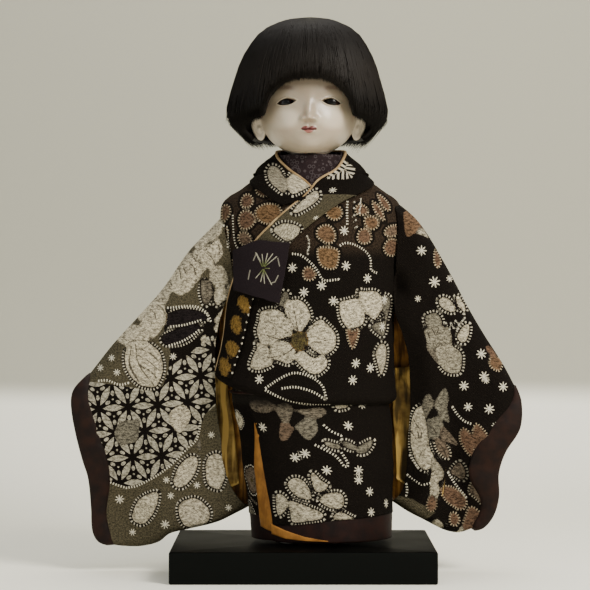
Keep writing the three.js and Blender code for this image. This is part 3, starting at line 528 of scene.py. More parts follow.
def patch_layer(x, z, shapes, seen):
    """Marks for patches of colour given by their outlines (tone, ring, then side and height of each point),
    as seen from the front: signed distance to the outline, distance along it and ring; then tone, how clear
    the choice is, and whether a second patch touches."""
    best, second = np.full(x.shape, -9.0), np.full(x.shape, -9.0)
    along, ring, tone = np.zeros(x.shape), np.zeros(x.shape), np.zeros(x.shape)
    for shape in shapes:
        points = closed_line(shape[2:])
        low, high = points.min(axis=0) - 4, points.max(axis=0) + 4
        near = seen & (x > low[0]) & (x < high[0]) & (z > low[1]) & (z < high[1])
        if not near.any():
            continue
        far, at, within = nearest(x[near], z[near], np.r_[points, points[:1]])
        signed = np.where(within, far, -far)
        closer = signed > best[near]
        second[near] = np.where(closer, best[near], np.maximum(second[near], signed))
        for store, value in ((best, signed), (along, at), (ring, shape[1]), (tone, shape[0])):
            store[near] = np.where(closer, value, store[near])
    touching = 0.9 * smooth(second, -3.5, -0.5)
    return {
        "patch_at": np.stack([best + touching, along, ring], -1),
        "patch_is": np.stack([tone, best - second, touching], -1),
    }


# %% Motifs scattered by a seed
def scatter(low, high, count, gap, make, keep_off=(), seed=1):
    """Motifs at random places, none nearer to another, or to those in keep_off, than gap times their sizes."""
    source = np.random.default_rng(seed)
    placed = [tuple(m) for m in keep_off]
    fresh = []
    for _ in range(count * 12):
        motif = make(source, source.uniform(low[0], high[0]), source.uniform(low[1], high[1]))
        if all(math.hypot(motif[0] - m[0], motif[1] - m[1]) > gap * (motif[2] + m[2]) for m in placed):
            placed.append(motif)
            fresh.append(motif)
        if len(fresh) == count:
            break
    return fresh


# %% [markdown]
# ## The printed crepe
#
# The real cloth is dyed through stencils, so its colours lie in flat fields with ink lines between them. A
# picture of the cloth could be laid on, but would be soft close up. Here one material draws every motif from the
# values stored on the cloth's points, and stays sharp at any distance.

# %% The shader of the print
INK = (0.0045, 0.0032, 0.0023)
CREAM = (0.54, 0.48, 0.345)
GREY = (0.115, 0.105, 0.078)
BROWN = (0.078, 0.046, 0.028)
GOLD = (0.185, 0.108, 0.026)
HEART = (0.11, 0.088, 0.03)
THREAD = (0.47, 0.43, 0.33)
TONES = ((CREAM, 0.38, 1.2), (GREY, 0.35, 1.7), (BROWN, 0.35, 1.7), (GOLD, 0.5, 1.3), (HEART, 0.35, 1.2))


def tone_color(p, tone, fuzz):
    """Cream at tone 0, grey at 1, brown at 2, gold at 3, olive-brown at 4, each unevenly printed."""
    color = None
    for k, (base, low, high) in enumerate(TONES):
        here = p.mix(fuzz, tuple(v * low for v in base), tuple(v * high for v in base))
        color = here if color is None else p.mix(most(least(tone - (k - 1.0), 1.0), 0.0), color, here)
    return color


def draw_patches(p, under, u, v, fuzz):
    """Patches of colour with ragged edges of short strokes and a ring of stitches round them. Tone 5 is
    striped and tone 6 is ink."""
    far, along, ring = p.mark("patch_at")
    tone, clear, touching = p.mark("patch_is")
    ink = p.mark("ink")[0]
    here = p.vector(u, v)
    brown = size_of(tone - 2.0).step(0.5, 0.3)
    gold = size_of(tone - 3.0).step(0.5, 0.3)
    ticks = sine(along * 3.3 + p.noise(here, 0.3, 1) * 2.0)
    deep = far + (p.noise(here, 0.42, 4, 0.7) - 0.5) * (gold * 5.0 + 1.7) + ticks * 0.22
    body = deep.step(-0.12, 0.16)
    strokes = (ticks * 0.5 + 0.5) * deep.step(1.7, 0.3)
    veins = size_of(sine(along * 0.8 + far * 0.6 + p.noise(here, 0.12, 2) * 9.0)).step(0.13, 0.05)
    veins = veins * deep.step(0.8, 2.0) * 0.45
    creases = size_of(p.noise(p.vector(u * 0.8, v * 1.2), 0.34, 4, 0.72) - 0.5).step(0.03, 0.008) * 0.7
    lines = size_of(tone - 4.0).step(0.4, 0.2) * p.noise(p.vector(u * 2.2, v * 0.5), 0.8, 2).step(0.4, 0.6) * 0.8
    seam = clear.step(0.5, 0.15) * touching.step(0.1, 0.4)
    drawn = (ink + (p.noise(here, 0.8, 2) - 0.5) * 0.5).step(0.62, 0.25) * 0.85
    dark = least(strokes * 0.45 + (veins + creases) * (1.0 - brown) + lines + drawn + seam * 0.85, 0.88)
    color = p.mix(dark, tone_color(p, tone, fuzz), (0.022, 0.016, 0.011))
    stripes = sine(along * 1.9).step(-0.2, 0.2)
    color = p.mix(size_of(tone - 5.0).step(0.5, 0.4), color, p.mix(stripes, INK, THREAD))
    inked = p.mix(fuzz, (0.004, 0.003, 0.003), (0.012, 0.009, 0.009))
    color = p.mix((tone - 5.5).step(0.0, 0.1), color, inked)
    place_of_ring = far + 1.5 - brown * 1.5
    dashes = size_of(place_of_ring).step(0.95, 0.55) * ticks.step(0.05, 0.5) * ring * clear.step(0.5, 1.5)
    dashes = dashes * (fuzz * 0.45 + 0.55)
    moat = (far + 2.6).step(0.0, 0.4) * ring * 0.9
    thread = p.mix(brown, THREAD, (0.36, 0.29, 0.19))
    dashed = p.mix(dashes, p.mix(moat, under, INK), thread)
    whole_patch = p.mix(body, dashed, color)
    return p.mix(dashes * brown, whole_patch, thread), most(body * (1.0 - brown * 0.3), dashes)


# %% Blossoms, leaves, stars and stitches
def draw_blossom(p, under, fuzz):
    """A flower with its petals' seams, veins, dark heart, rim of short strokes and stitched outline."""
    x, y, seed = p.mark("bloom_at")
    petals, tone, clear = p.mark("bloom_is")
    sure = clear.step(0.01, 0.05)
    r = root(x * x + y * y)
    turn = turn_of(y, x) + seed * 6.28
    wobble = p.noise(p.vector(x + seed * 9.0, y), 2.6, 2) - 0.5
    swell = size_of(cosine(turn * petals * 0.5))
    edge = power(swell + 0.001, 0.42) * 0.22 + 0.73 + wobble * 0.14
    body = (edge - r).step(0.0, 0.035)
    seams = (swell * r).step(0.045, 0.015) * r.step(0.16, 0.26) * 0.6
    veins = size_of(sine(turn * petals * 2.5 + wobble * 5.0)).step(0.2, 0.06)
    veins = veins * r.step(0.34, 0.5) * (edge - r).step(0.06, 0.2)
    strokes = sine(turn * 38.0) * 0.5 + 0.5
    rim = (edge - r).step(0.2, 0.02) * (1.0 - strokes) * 0.75
    heart = r.step(0.165, 0.12)
    pollen = size_of(r - 0.24).step(0.05, 0.02) * sine(turn * 11.0).step(0.1, 0.5)
    ring = size_of(r - edge - 0.12).step(0.055, 0.03) * sine(turn * whole(petals * 5.0 + 8.0)).step(-0.35, 0.05)
    petal_color = p.mix(least(seams + veins * 0.75 + rim, 1.0), tone_color(p, tone, fuzz), (0.03, 0.022, 0.015))
    petal_color = p.mix(heart, petal_color, (0.06, 0.045, 0.016))
    petal_color = p.mix(pollen * (1.0 - heart), petal_color, (0.05, 0.036, 0.02))
    dark = p.mix((edge + 0.2 - r).step(0.0, 0.05) * sure * 0.9, under, INK)
    dashed = p.mix(ring * sure, dark, (0.62, 0.57, 0.46))
    return p.mix(body * sure, dashed, petal_color), body * sure, ring * sure


def draw_leaf(p, under, fuzz):
    """A pointed leaf with a midrib, slanting side veins and a stitched outline."""
    x, y, seed = p.mark("leaf_at")
    kind, tone, clear = p.mark("leaf_is")
    sure = clear.step(0.01, 0.05)
    side = size_of(y)
    width = power(most(1.0 - x * x, 0.0), 0.75)
    body = (width - side).step(0.0, 0.1)
    rib = side.step(0.11, 0.05) + size_of(part_of(x * 3.2 - side * 0.9 + seed) - 0.5).step(0.12, 0.05) * 0.8
    outline = size_of(root(x * x + y * y * 0.85) - 1.14).step(0.07, 0.03) * sine(turn_of(y, x) * 30.0).step(-0.3, 0.1)
    color = p.mix(least(rib, 1.0) * (1.0 - kind), tone_color(p, tone, fuzz), (0.028, 0.02, 0.014))
    color = p.mix(kind, color, INK)
    dashed = p.mix(outline * sure, under, (0.58, 0.54, 0.43))
    return p.mix(body * sure, dashed, color), body * sure * (1.0 - kind), outline * sure


def draw_star(p, under):
    """Small stars of eight points, dots, and the lines of stitches."""
    x, y, seed = p.mark("star_at")
    points, tone, clear = p.mark("star_is")
    r = root(x * x + y * y)
    ray = power(size_of(cosine((turn_of(y, x) + seed * 1.4) * points * 0.5)), 2.4)
    star = (ray * 0.68 + 0.3 - r).step(0.0, 0.09) * clear.step(0.01, 0.05)
    far, along, apart = p.mark("stitch")
    dash = (far + (1.0 - apart.step(0.02, 0.2)) * 5.0).step(1.0, 0.65) * sine(along * 3.3).step(0.0, 0.45)
    thread = p.mix(tone, (0.56, 0.52, 0.41), (0.27, 0.245, 0.18))
    return p.mix(most(star, dash), under, thread), most(star, dash)


# %% The hemp-leaf lattice
def draw_lattice(u, v, pitch=20.5):
    """Lenses along the sides of equal triangles, with three seeds and a dot inside each triangle."""
    lens, tall = None, 0.8660254  # height of a triangle whose sides are 1
    for angle in (4.0, 64.0, 124.0):
        a = math.radians(angle)
        x, y = u * math.cos(a) + v * math.sin(a), v * math.cos(a) - u * math.sin(a)
        row = whole(y / (pitch * tall))
        across = y - row * (pitch * tall)
        t = part_of(x / pitch + row * 0.5)
        bulge = sine(most(least((t - 0.12) / 0.76, 1.0), 0.0) * math.pi)
        mask = (bulge * (pitch * 0.118) - size_of(across)).step(0.0, 0.3)
        lens = mask if lens is None else most(lens, mask)
    a = math.radians(4.0)
    x, y = u * math.cos(a) + v * math.sin(a), v * math.cos(a) - u * math.sin(a)
    j = y / (pitch * tall)
    i = x / pitch - j * 0.5
    fi, fj = part_of(i), part_of(j)
    upper = (fi + fj).math("GREATER_THAN", 1.0)
    middle = upper / 3.0 + 1.0 / 3.0
    sign = 1.0 - upper * 2.0
    dx = ((fi - middle) + (fj - middle) * 0.5) * sign
    dy = (fj - middle) * tall * sign
    r = root(dx * dx + dy * dy)
    third = 2 * math.pi / 3
    fold = (part_of((turn_of(dy, dx) - math.pi / 2) / third + 3.5) - 0.5) * third
    sx, sy = (r * cosine(fold) - 0.205) / 0.095, r * sine(fold) / 0.062
    seeds = (1.0 - root(sx * sx + sy * sy)).step(0.0, 0.12)
    return most(lens, most(seeds, r.step(0.04, 0.025)))


# %% All layers of the print together
def print_cloth(name="print_cloth"):
    """The whole print: grounds, lattice, leaves, blossoms, stars and stitches over a crinkled weave."""
    p = Paint(name)
    u, v, olive = p.mark("cloth_at")
    lattice, yoke, shade = p.mark("cloth_is")
    here = p.vector(u, v)
    grain, cloud = p.noise(here, 0.85, 4, 0.65), p.noise(here, 0.07, 3)
    speck = p.noise(p.vector(u * 0.75, v * 1.3), 0.55, 3, 0.66)
    fuzz = (speck * 0.7 + p.noise(here, 0.22, 3, 0.7) * 0.24 + cloud * 0.06).step(0.38, 0.58)
    black = p.mix(grain.step(0.45, 0.8) * 0.5, INK, (0.016, 0.012, 0.008))
    black = p.mix(yoke, black, p.mix(grain.step(0.3, 0.7), (0.009, 0.006, 0.004), (0.042, 0.028, 0.018)))
    green = p.mix(grain.step(0.3, 0.72), (0.024, 0.021, 0.013), (0.098, 0.083, 0.05))
    ground = p.mix((olive + cloud * 3.0 - 1.5).step(-0.3, 0.3), black, green)
    holes = lattice.step(-0.2, 0.4)
    net = p.mix(draw_lattice(u, v), INK, p.mix(fuzz, (0.11, 0.1, 0.075), (0.37, 0.34, 0.26)))
    ground = p.mix(holes, ground, net)
    leafy, leaf, _ = draw_leaf(p, ground, fuzz)
    flowery, bloom, ring = draw_blossom(p, leafy, fuzz)
    patched, patch_high = draw_patches(p, flowery, u, v, fuzz)
    starry, star = draw_star(p, patched)
    # painted shade: where the shade mark is set the print is darkened, on the skirt under the robe's fold
    lit = p.mix(shade, starry, (0.012, 0.01, 0.008))
    weave = p.noise(here, 1.5, 3, 0.7) * 0.9 + sine(u * 3.4) * sine(v * 3.4) * 0.18
    height = weave + most(most(most(bloom, leaf), most(star, ring)), patch_high) * 0.45
    return p.finish(lit, grain * 0.1 + 0.86, height + fuzz * 0.5, 0.5,
                    Sheen_Weight=0.0, Sheen_Roughness=0.6, Specular_IOR_Level=0.07)


# %% What a printed piece stores on its points
BLANK = (0.0, -400.0, 1.0, 1.0, 0.0, 5.0, 0.0)  # a motif far off the cloth, for a layer that has none
NO_LINE = [(0, -400), (1, -400)]


def print_marks(u, v, blooms=(), leaves=(), stars=(), lines=(), olive=None, lattice=None, yoke=None,
                shade=None, patches=None, ink=None):
    """All the marks of a printed cloth: its own coordinates, its grounds, a painted shade and its layers of motifs.
    """
    off, zero = np.full(u.shape, -9.0), np.zeros(u.shape)
    given = ((olive, off), (lattice, off), (yoke, zero), (shade, zero))
    grounds = [none if ground is None else ground for ground, none in given]
    marks = {"cloth_at": np.stack([u, v, grounds[0]], -1), "cloth_is": np.stack(grounds[1:], -1)}
    marks.update(stamp("bloom", u, v, [*blooms, BLANK], 1.55))
    marks.update(stamp("leaf", u, v, [*leaves, BLANK], 1.35))
    marks.update(stamp("star", u, v, [*stars, BLANK], 1.2))
    marks.update(stitch_lines(u, v, lines or [NO_LINE]))
    marks.update(stitch_lines(u, v, ink or [NO_LINE], "ink"))
    marks.update(patches or patch_layer(u, v, [], off > 0))
    return marks


# %% Materials of the doll
LACQUER = lacquer()
STEEL, BRASS = metal("rod_steel", (0.5, 0.5, 0.52), 0.28), metal("cap_brass", (0.62, 0.46, 0.2), 0.3)
PRINT = print_cloth()
ORANGE = silk("orange_silk", (0.17, 0.068, 0.012), (0.36, 0.16, 0.03), 0.42)
LINING = silk("lining_silk", (0.15, 0.06, 0.01), (0.38, 0.18, 0.036), 0.42, 0.8)
WINE = silk("wine_silk", (0.004, 0.0012, 0.0008), (0.0155, 0.0042, 0.0022), 0.55)
BAND = silk("brown_silk", (0.0042, 0.0016, 0.001), (0.0165, 0.0058, 0.003), 0.55)
OLIVE_GOLD = silk("olive_gold_silk", (0.1, 0.052, 0.012), (0.36, 0.23, 0.06), 0.5, 0.9)
PIPING = silk("peach_piping", (0.2, 0.125, 0.055), (0.42, 0.3, 0.16), 0.5)
SHELL = plain_weave("shell_white", (0.5, 0.44, 0.36), (0.6, 0.53, 0.44), 1.2, 0.02)
STUFFED = plain_weave("stuffed_cloth", (0.42, 0.36, 0.27), (0.62, 0.55, 0.43), 3.0, 0.2)
# painted shade: the white socks are given a dark grey, as they lie in the shade under the hem
SOCKS = plain_weave("sock_cloth", (0.2, 0.19, 0.165), (0.3, 0.285, 0.25), 3.0, 0.15)
COTTON = plain_weave("lining_cotton", (0.2, 0.17, 0.12), (0.33, 0.29, 0.21), 3.0, 0.15)
print("materials:", len(bpy.data.materials))

# %% [markdown]
# ## The robe
#
# The robe's body is a closed sheet whose sections come from the same table as the solid. Its lower edge
# lies as a soft roll over the skirt, lower at the doll's left than at its right. The print is laid out
# where the photograph shows it, and scattered by a seeded generator where the picture cannot reach.

# %% The robe's body
ROBE = [
    [96, -3.5, 61.2, 41.2, 38], [104, -4, 63.4, 43.4, 39.6], [117, -4, 63, 42.8, 39], [138, -1.5, 60.5, 41, 35.5],
    [168, 0, 59.4, 39.5, 34.5], [193, 1.2, 60, 38.5, 33.5], [213, 0.8, 62.6, 37, 32], [228, 0.3, 64.2, 35, 30],
    [238, 0, 61.6, 32.5, 27.5], [247, 0, 49, 29.5, 25], [254.5, 0, 36.5, 26.5, 23.5],
]


def wrinkles(x, h):
    """Depth in mm of the cloth's unevenness: broad swells, slanted drags from the arms, fine crinkles."""
    broad = waves(x, h, 46, 3) * 0.7
    drag = np.sin((h + np.abs(x) * 0.55) / 7.5) * smooth(np.abs(x), 18, 48) * smooth(h, 150, 190) * 0.55
    fine = waves(x, h, 12, 5, 5) * 0.3 + waves(x, h, 5.5, 8, 5) * 0.13
    return broad + drag + fine


# %% The sheet of the robe's body
EDGE = [[90, 103], [180, 114.3], [225, 106.3], [255, 98.9], [270, 96.9], [300, 96.3], [360, 96.3], [450, 103]]
dense = np.r_[np.linspace(90, 180, 50)[:-1], np.linspace(180, 360, 190), np.linspace(360, 450, 50)[1:]]
rise = np.linspace(0, 1, 118)[:, None]
low_edge = table_at(EDGE, dense)[None, :, 0]
RIM = [[90, 254.5], [180, 254.5], [200, 252.5], [214, 249.5], [234, 245], [252, 239], [270, 237], [290, 239],
       [306, 245], [326, 250], [344, 253], [360, 254.5], [450, 254.5]]
high_edge = table_at(RIM, dense)[None, :, 0]
height = low_edge + (high_edge - low_edge) * rise
robe = egg(table_at(ROBE, height), dense[None, :], height)
above = height - low_edge
roll = np.exp(-((above - 4.5) / 4.0) ** 2) * 1.2 - np.exp(-(above / 1.8) ** 2) * 1.8
ease = smooth(high_edge - height, 0, 10) * smooth(above, 0, 12)
robe_face = robe + normals(robe) * (roll + (wrinkles(robe[..., 0], height) - 0.5) * ease)[..., None]


# %% Places for motifs
def find(grid, u, v, spots):
    """The cloth coordinates nearest to places given as frame side and height, seen from the front."""
    world = place(grid)
    front = normals(grid)[..., 1] < 0
    found = []
    for x, z in spots:
        far = np.hypot(world[..., 0] - x, world[..., 2] - z) + np.where(front, 0, 500)
        k = np.unravel_index(np.argmin(far), far.shape)
        found.append((u[k], v[k]))
    return found


def laid_out(grid, u, v, motifs):
    """Motifs listed as seen, (side, height, half length, half width, turn, petals, tone), moved to the cloth."""
    spots = find(grid, u, v, [m[:2] for m in motifs])
    return [(*spot, *m[2:]) for spot, m in zip(spots, motifs)]


def any_bloom(source, u, v):
    """A blossom of any size, turn, number of petals and colour at a place."""
    size = source.choice([17, 12, 9, 7], p=[0.2, 0.25, 0.3, 0.25]) * source.uniform(0.85, 1.15)
    return (u, v, size, size * source.uniform(0.85, 1), source.uniform(0, 360), int(source.choice([5, 5, 4, 6])),
            float(source.choice([0, 0, 1, 1.6])))


def any_star(source, u, v):
    """A small eight-rayed snow star."""
    size = source.uniform(2.4, 3.6)
    return (u, v, size, size, source.uniform(0, 90), 8, float(source.choice([0, 0, 0.4])))


def any_leaf(source, u, v):
    """A leaf, longer than wide."""
    size = source.uniform(6, 10)
    return (u, v, size, size * 0.42, source.uniform(0, 360), 0, float(source.choice([0.2, 1, 1.7])))


step_out = np.diff(robe, axis=1, prepend=robe[:, :1])
robe_u = np.cumsum(np.linalg.norm(step_out, axis=-1), axis=1)
robe_u = robe_u - robe_u[:, [int(np.argmin(np.abs(dense - 270)))]]
robe_v = np.broadcast_to(height, robe_u.shape)
# %% [markdown]
# ## The print of the robe's body
#
# Every motif that the photograph shows was read off as an outline. Tracing a picture would copy its blur
# and its shadows too. Each outline starts with its tone and whether an ink ring goes round it.

# %% Outlines on the robe's body
BODICE_PATCHES = lists("""
    0.1 1 -29,182 -22,184 -15,182 -12,177 -8,171 -9,166 -17,164 -23,160 -29,162 -32,169 -30,176 / 0 1 -13,186 -9,190
    -2,190 3,185 5,178 3,175 0,171 -3,169 -7,172 -10,178 / 0.05 1 3,170 7,174 12,177 17,173 22,167 22,159 17,154
    12,154 6,157 3,162 / 0 1 -5,153 0,155 7,151 12,152 16,150 16,145 10,140 4,141 -2,146 -5,150 / 0.15 1 -22,158
    -16,162 -10,161 -6,156 -7,150 -10,147 -17,149 -22,152 / 0.2 1 -32,161 -25,158 -24,152 -21,147 -29,143 -36,144
    -35,151 -32,157 / 4 0 -7,166 -3,168 2,167 3,162 0,157 -4,156 -8,160 / 1 1 -16,189 -15,194 -12,196 -10,193
    -13,188 -17,186 / 0 1 25,188 30,190 36,191 39,186 42,180 41,174 36,172 30,172 26,178 / 0 1 38,196 43,196 50,196
    54,191 54,183 49,177 44,181 40,188 / 2 1 30,170 34,169 38,170 37,163 34,157 31,163 / 1 1 47,172 53,175 58,174
    56,166 52,167 / 1 1 55,193 60,192 61,186 58,176 56,184 / 0.3 1 50,154 54,160 58,157 57,145 54,139 51,148 / 2.2 1
    10,225 17,226 24,224 24,218 22,212 15,212 11,216 / 2 1 48,258 51,256 54,252 56,245 53,247 49,252 / 2 1 52,264
    56,262 60,257 60,252 56,254 53,260 / 1.8 1 56,236 58,240 64,242 68,240 66,236 60,234 / 2 1 56,227 60,232 66,231
    66,226 64,221 58,222 / 2 1 -57,255 -53,256 -51,251 -54,245 -57,247 /
    2 1 -58,240 -54,241 -52,237 -54,230 -57,232""")
BODICE_PATCHES += [oval(*m) for m in lists("""
    2 1 -39.2,258.6 4.8 / 2 1 -39.2,245.2 6.2 / 2.2 1 -23.9,249.5 8 / 2 1 -27.7,266.3 5 / 2.2 1 21.1,250 5.4 /
    2.1 1 15.8,235.2 6.4 / 2 1 42.1,233.7 5 / 2.1 1 46.9,243.3 4.7 / 1.8 1 -40.7,232.3 4.6 / 1.3 0 -8.6,250.5 4 /
    2 1 4,208 4.5 / 2 1 -22,216 5 / 2.1 1 -46,216 4.4 / 2 1 40,252 4""")]
BODICE_INK = lists("""
    -3,167 -5,178 -7,186 / -9,167 -15,172 -23,175 / 0,166 7,173 13,175 / 1,159 5,152 7,147 / -7,158 -13,153 -24,151
    / -9,164 -16,163 -25,166 / -10,181 -8,175 -4,169 / 2,163 10,161 16,163""", 2)
BODICE_LINES = lists("""
    -8,222 -2,221 6,215 10,209 14,204 24,204 / 25,227 29,229 36,228 43,224 47,218 47,210 51,209 / 30,258 30,251
    30,242 / -26,130 -17,137 -6,141 6,138 13,131 16,123 / -15,130 -6,131 6,128 15,123 / -26,129 -17,125 -6,120 8,116
    19,117 / -8,270 0,272 / -49,249 -47,229 -44,223 / -53,241 -51,224 / 17,270 25,271 34,268 40,266""", 2)
DOTTED = lists("36,262 35,251 37,240 / 40,260 39,250 / 3,234 4,228 3,222", 2)
STARS = lists("""
    -8,212 29,214 44,205 12,200 0,196 21,189 -30,136 36,147 46,144 34,135 28,238 21,264 57,190 55,172""", 2)[0]
BODICE_STARS = [(x, z, 3.8, 3.8, 0, 8, 0) for x, z in STARS]
BODICE_STARS += [(x, z, 1.0, 1.0, 0, 8, 0) for line in DOTTED for x, z in curve(line, np.linspace(0, 1, 6))]
# motifs nearer to the middle than this are drawn from the photograph, and the scatter keeps to the back
BLOOMS_FROM, REST_FROM = 82, 78
hidden = [m for m in scatter((-190, 112), (190, 246), 60, 1.25, any_bloom, (), 4) if abs(m[0]) > BLOOMS_FROM]
seen_stars = laid_out(robe, robe_u, robe_v, BODICE_STARS)
more_leaves = [m for m in scatter((-190, 112), (190, 246), 40, 1.6, any_leaf, hidden, 5) if abs(m[0]) > REST_FROM]
taken = [(m[0], m[1], m[2] * 0.6) for m in hidden]
more_stars = [m for m in scatter((-190, 105), (190, 250), 150, 2.2, any_star, taken, 6) if abs(m[0]) > REST_FROM]
world = place(robe)
body_patches = patch_layer(world[..., 0], world[..., 2], BODICE_PATCHES, normals(robe)[..., 1] < 0)
lines = [find(robe, robe_u, robe_v, line) for line in BODICE_LINES]
marks = print_marks(robe_u, robe_v, hidden, more_leaves, seen_stars + more_stars, lines,
                    yoke=smooth(robe_v, 196, 208) * 0.9, patches=body_patches,
                    ink=[find(robe, robe_u, robe_v, line) for line in BODICE_INK])
body_sheet = cloth("robe_body_cloth", place(robe_face), 1.3, "doll", (PRINT, COTTON, PRINT), ("robe_body",),
                   marks=marks)
print("robe body:", len(body_sheet.data.polygons), "faces")

# %% [markdown]
# ## Skirt, facing and the orange edge
#
# The skirt is one cloth wound about one and a third times round the legs. Its front edge runs slantwise
# down the doll's right, where a strip of the orange lining looks out. A padded dark facing ends it.

# %% The wound skirt
SKIRT_FORM = [
    [5, 7.5, 49.5, 44, 41], [20, 7, 50.2, 43.5, 40.5], [50, 5.2, 52, 42.5, 38.5],
    [75, 3.6, 53.6, 41, 36.5], [96, 0, 54.5, 37.6, 34.6], [112, -1.5, 53, 36.6, 34.2],
]


def wound(wrap, height, out=0.0):
    """Points of the wound cloth: its front edge slants, and past 270 degrees it passes inwards under itself."""
    angle = 229 - 12 * height / 110 + wrap
    turned_in = 3.4 * smooth(wrap, 322, 364) - 0.6 * smooth(np.abs(np.cos(np.radians(angle))), 0.8, 0.98)
    return egg(table_at(SKIRT_FORM, height), angle, height, out - turned_in)


def skirt_sheet(name, wraps, low, high, rows, out, thickness, materials, replaced, wave=1.0, marks=False):
    """A part of the wound cloth between two heights; low and high may change along the wrap."""
    t = np.linspace(0, 1, rows)[:, None]
    h = (1 - t) * low + t * high
    w = np.broadcast_to(wraps, h.shape)
    base = wound(w, h)
    x = base[..., 0]
    swell = waves(x, h, 34, 12) * 0.55 + waves(x, h, 9, 15, 5) * 0.22 + waves(x, h, 5, 17, 5) * 0.1
    face = wound(w, h, out) + normals(base) * ((swell - 0.4) * wave)[..., None]
    u = np.radians(w) * 46  # run of the cloth round a leg of 46 mm radius
    return cloth(name, place(face), thickness, "doll", materials, replaced,
                 marks=skirt_marks(base, u, h) if marks else None)


# %% The print of the skirt
SKIRT_PATCHES = lists("""
    1.4 0 -37,120 -29,122 -21,120 -19,116 -25,113 -34,114 / 1.3 0 -18,117 -14,120 -8,118 -8,111 -12,106 -17,111 /
    1.3 0 -6,115 2,116 12,117 16,114 11,110 1,112 / 1.1 0 -5,105 2,110 8,109 10,102 7,97 3,95 -3,100 / 1.8 0 -16,105
    -11,106 -7,102 -11,95 -16,95 / 0 1 20,134 25,130 31,126 31,118 26,116 22,117 21,124 18,130 / 0.8 1 15,94 20,93
    25,91 24,89 19,90 15,92 / 1 1 27,94 32,93 36,90 35,88 29,90 / 1 1 38,90 44,93 48,94 48,91 43,86 37,86 / 0.3 1
    -11,65 -7,69 -1,68 4,62 5,55 -3,56 -8,60 / 0.3 1 5,71 7,73 12,68 17,64 12,60 8,61 6,66 / 0.3 1 11,55 17,59 25,59
    28,54 26,49 19,49 13,52 / 0.1 1 -19,56 -16,58 -12,55 -11,51 -14,45 -18,44 / 0.2 1 -9,53 -3,52 5,49 12,46 13,42
    3,40 -7,39 -9,45 / 0.3 1 21,44 26,46 32,43 35,41 22,41""")
SKIRT_STARS = lists("-28,103 -6,83 31,105 40,119 38,74 38,67 46,59 47,45 -30,134 1,86 16,75 58,50", 2)[0]
SKIRT_LINES = lists("""
    14,105 19,101 26,98 / 8,92 16,88 23,84 29,76 31,78 26,87 / -25,128 -12,123 -1,120 10,120 17,122 / -16,132 -6,131
    3,129 10,125""", 2)


def skirt_marks(grid, u, h):
    """The print of the skirt: drawn in front, scattered from the side on."""
    world, front = place(grid), (normals(grid)[..., 1] < 0) & (u < 150)
    patches = patch_layer(world[..., 0], world[..., 2], SKIRT_PATCHES, front)
    outer = grid[:, :SEEN], u[:, :SEEN], h[:, :SEEN]
    stars = laid_out(*outer, [(x, z, 3.6, 3.6, 0, 8, 0) for x, z in SKIRT_STARS])
    far = scatter((150, 18), (378, 112), 40, 1.3, any_bloom, (), 8)
    far_leaves = [m for m in scatter((128, 18), (378, 112), 30, 1.7, any_leaf, far, 9)]
    taken = stars + [(m[0], m[1], m[2] * 0.7) for m in far]
    far_stars = scatter((116, 16), (378, 112), 70, 2.4, any_star, taken, 10)
    lines = [find(*outer, line) for line in SKIRT_LINES]
    # shade: the skirt is darkened above 94 to 99 mm as painted shade under the robe's fold
    return print_marks(u, h, far, far_leaves, stars + far_stars, lines,
                       shade=smooth(h, 94, 99) * 0.85, patches=patches)


SEEN = 200  # columns of the skirt's grid that the front shows
wraps = np.r_[np.linspace(0, 150, SEEN), np.linspace(150, 470, 130)[1:]][None, :]
hem = np.interp(wraps, [0, 30, 50, 75, 100, 130, 470], [14.0, 16.2, 18.6, 19.6, 20.4, 20.6, 19.6])
skirt = skirt_sheet("robe_skirt_cloth", wraps, hem, 110.0, 84, 0.0, 1.1, (PRINT, COTTON, PRINT), ("robe_skirt",),
                    marks=True)
skirt_sheet("hem_facing_cloth", wraps, 3.2 + 0 * wraps, hem + 3, 16, -0.8, 1.1, (WINE,) * 3, ("hem_facing",), 0.5)
coarse = np.linspace(4, 468, 200)[None, :]
skirt_sheet("skirt_lining_cloth", coarse, 16.0 + 0 * coarse, 109.5, 20, -2.4, 0.6, (ORANGE,) * 3, ("skirt_lining",),
            0.2)
print("skirt:", len(skirt.data.polygons), "faces")

# %% [markdown]
# ## The orange lining at the front corner
#
# On the real doll the lining is a little larger than the skirt, so it looks out beside the slanting edge and
# under the front corner. It could be part of the lining's own sheet. Two narrow strips on the same wound
# surface are used instead, because their width can then be read straight from the photograph.

# %% The strip and the wedge of lining
across, climb = np.linspace(0, 1, 22)[None, :], np.linspace(0, 1, 60)[:, None]
strip_h = 84 * climb + (1 - climb) * (12.6 - 4.6 * across)
strip_reach = np.interp(strip_h, [7, 20, 52, 76, 86], [17, 18, 14.5, 5.0, 0.5])
strip_wrap = -strip_reach * (1 - across) + 7 * across
strip = wound(strip_wrap, strip_h, -1.5)
swell = 0.9 * np.sin(across * math.pi) - 0.5 * across + waves(strip[..., 0], strip_h, 20, 31) * 0.3
strip = strip + normals(strip) * swell[..., None]
cloth("skirt_orange_edge", place(strip), 0.7, "doll", (ORANGE,) * 3)
foot_wrap, foot_at = np.linspace(-2, 46, 60)[None, :], [-2, 12, 28, 46]
foot_low = np.interp(foot_wrap, foot_at, [8.4, 5.8, 4.9, 4.6])
foot_high = np.interp(foot_wrap, foot_at, [15.5, 11.5, 7.6, 5.0])
foot_h = foot_low + (foot_high - foot_low) * np.linspace(0, 1, 8)[:, None]
foot = cloth("foot_orange_edge", place(wound(foot_wrap + 0 * foot_h, foot_h, 0.1)), 0.6, "doll", (ORANGE,) * 3)
print("orange wedge:", len(foot.data.polygons), "faces")

# %% [markdown]
# ## Under-robe and cord
#
# A plain cotton tube covers the legs, and a cord tied round the hips under the fold holds the robe up. A cord
# could be a curve with a bevel. Here it is a ring of small circles whose size swells and shrinks, which
# gives the look of a twist and stays one closed mesh.

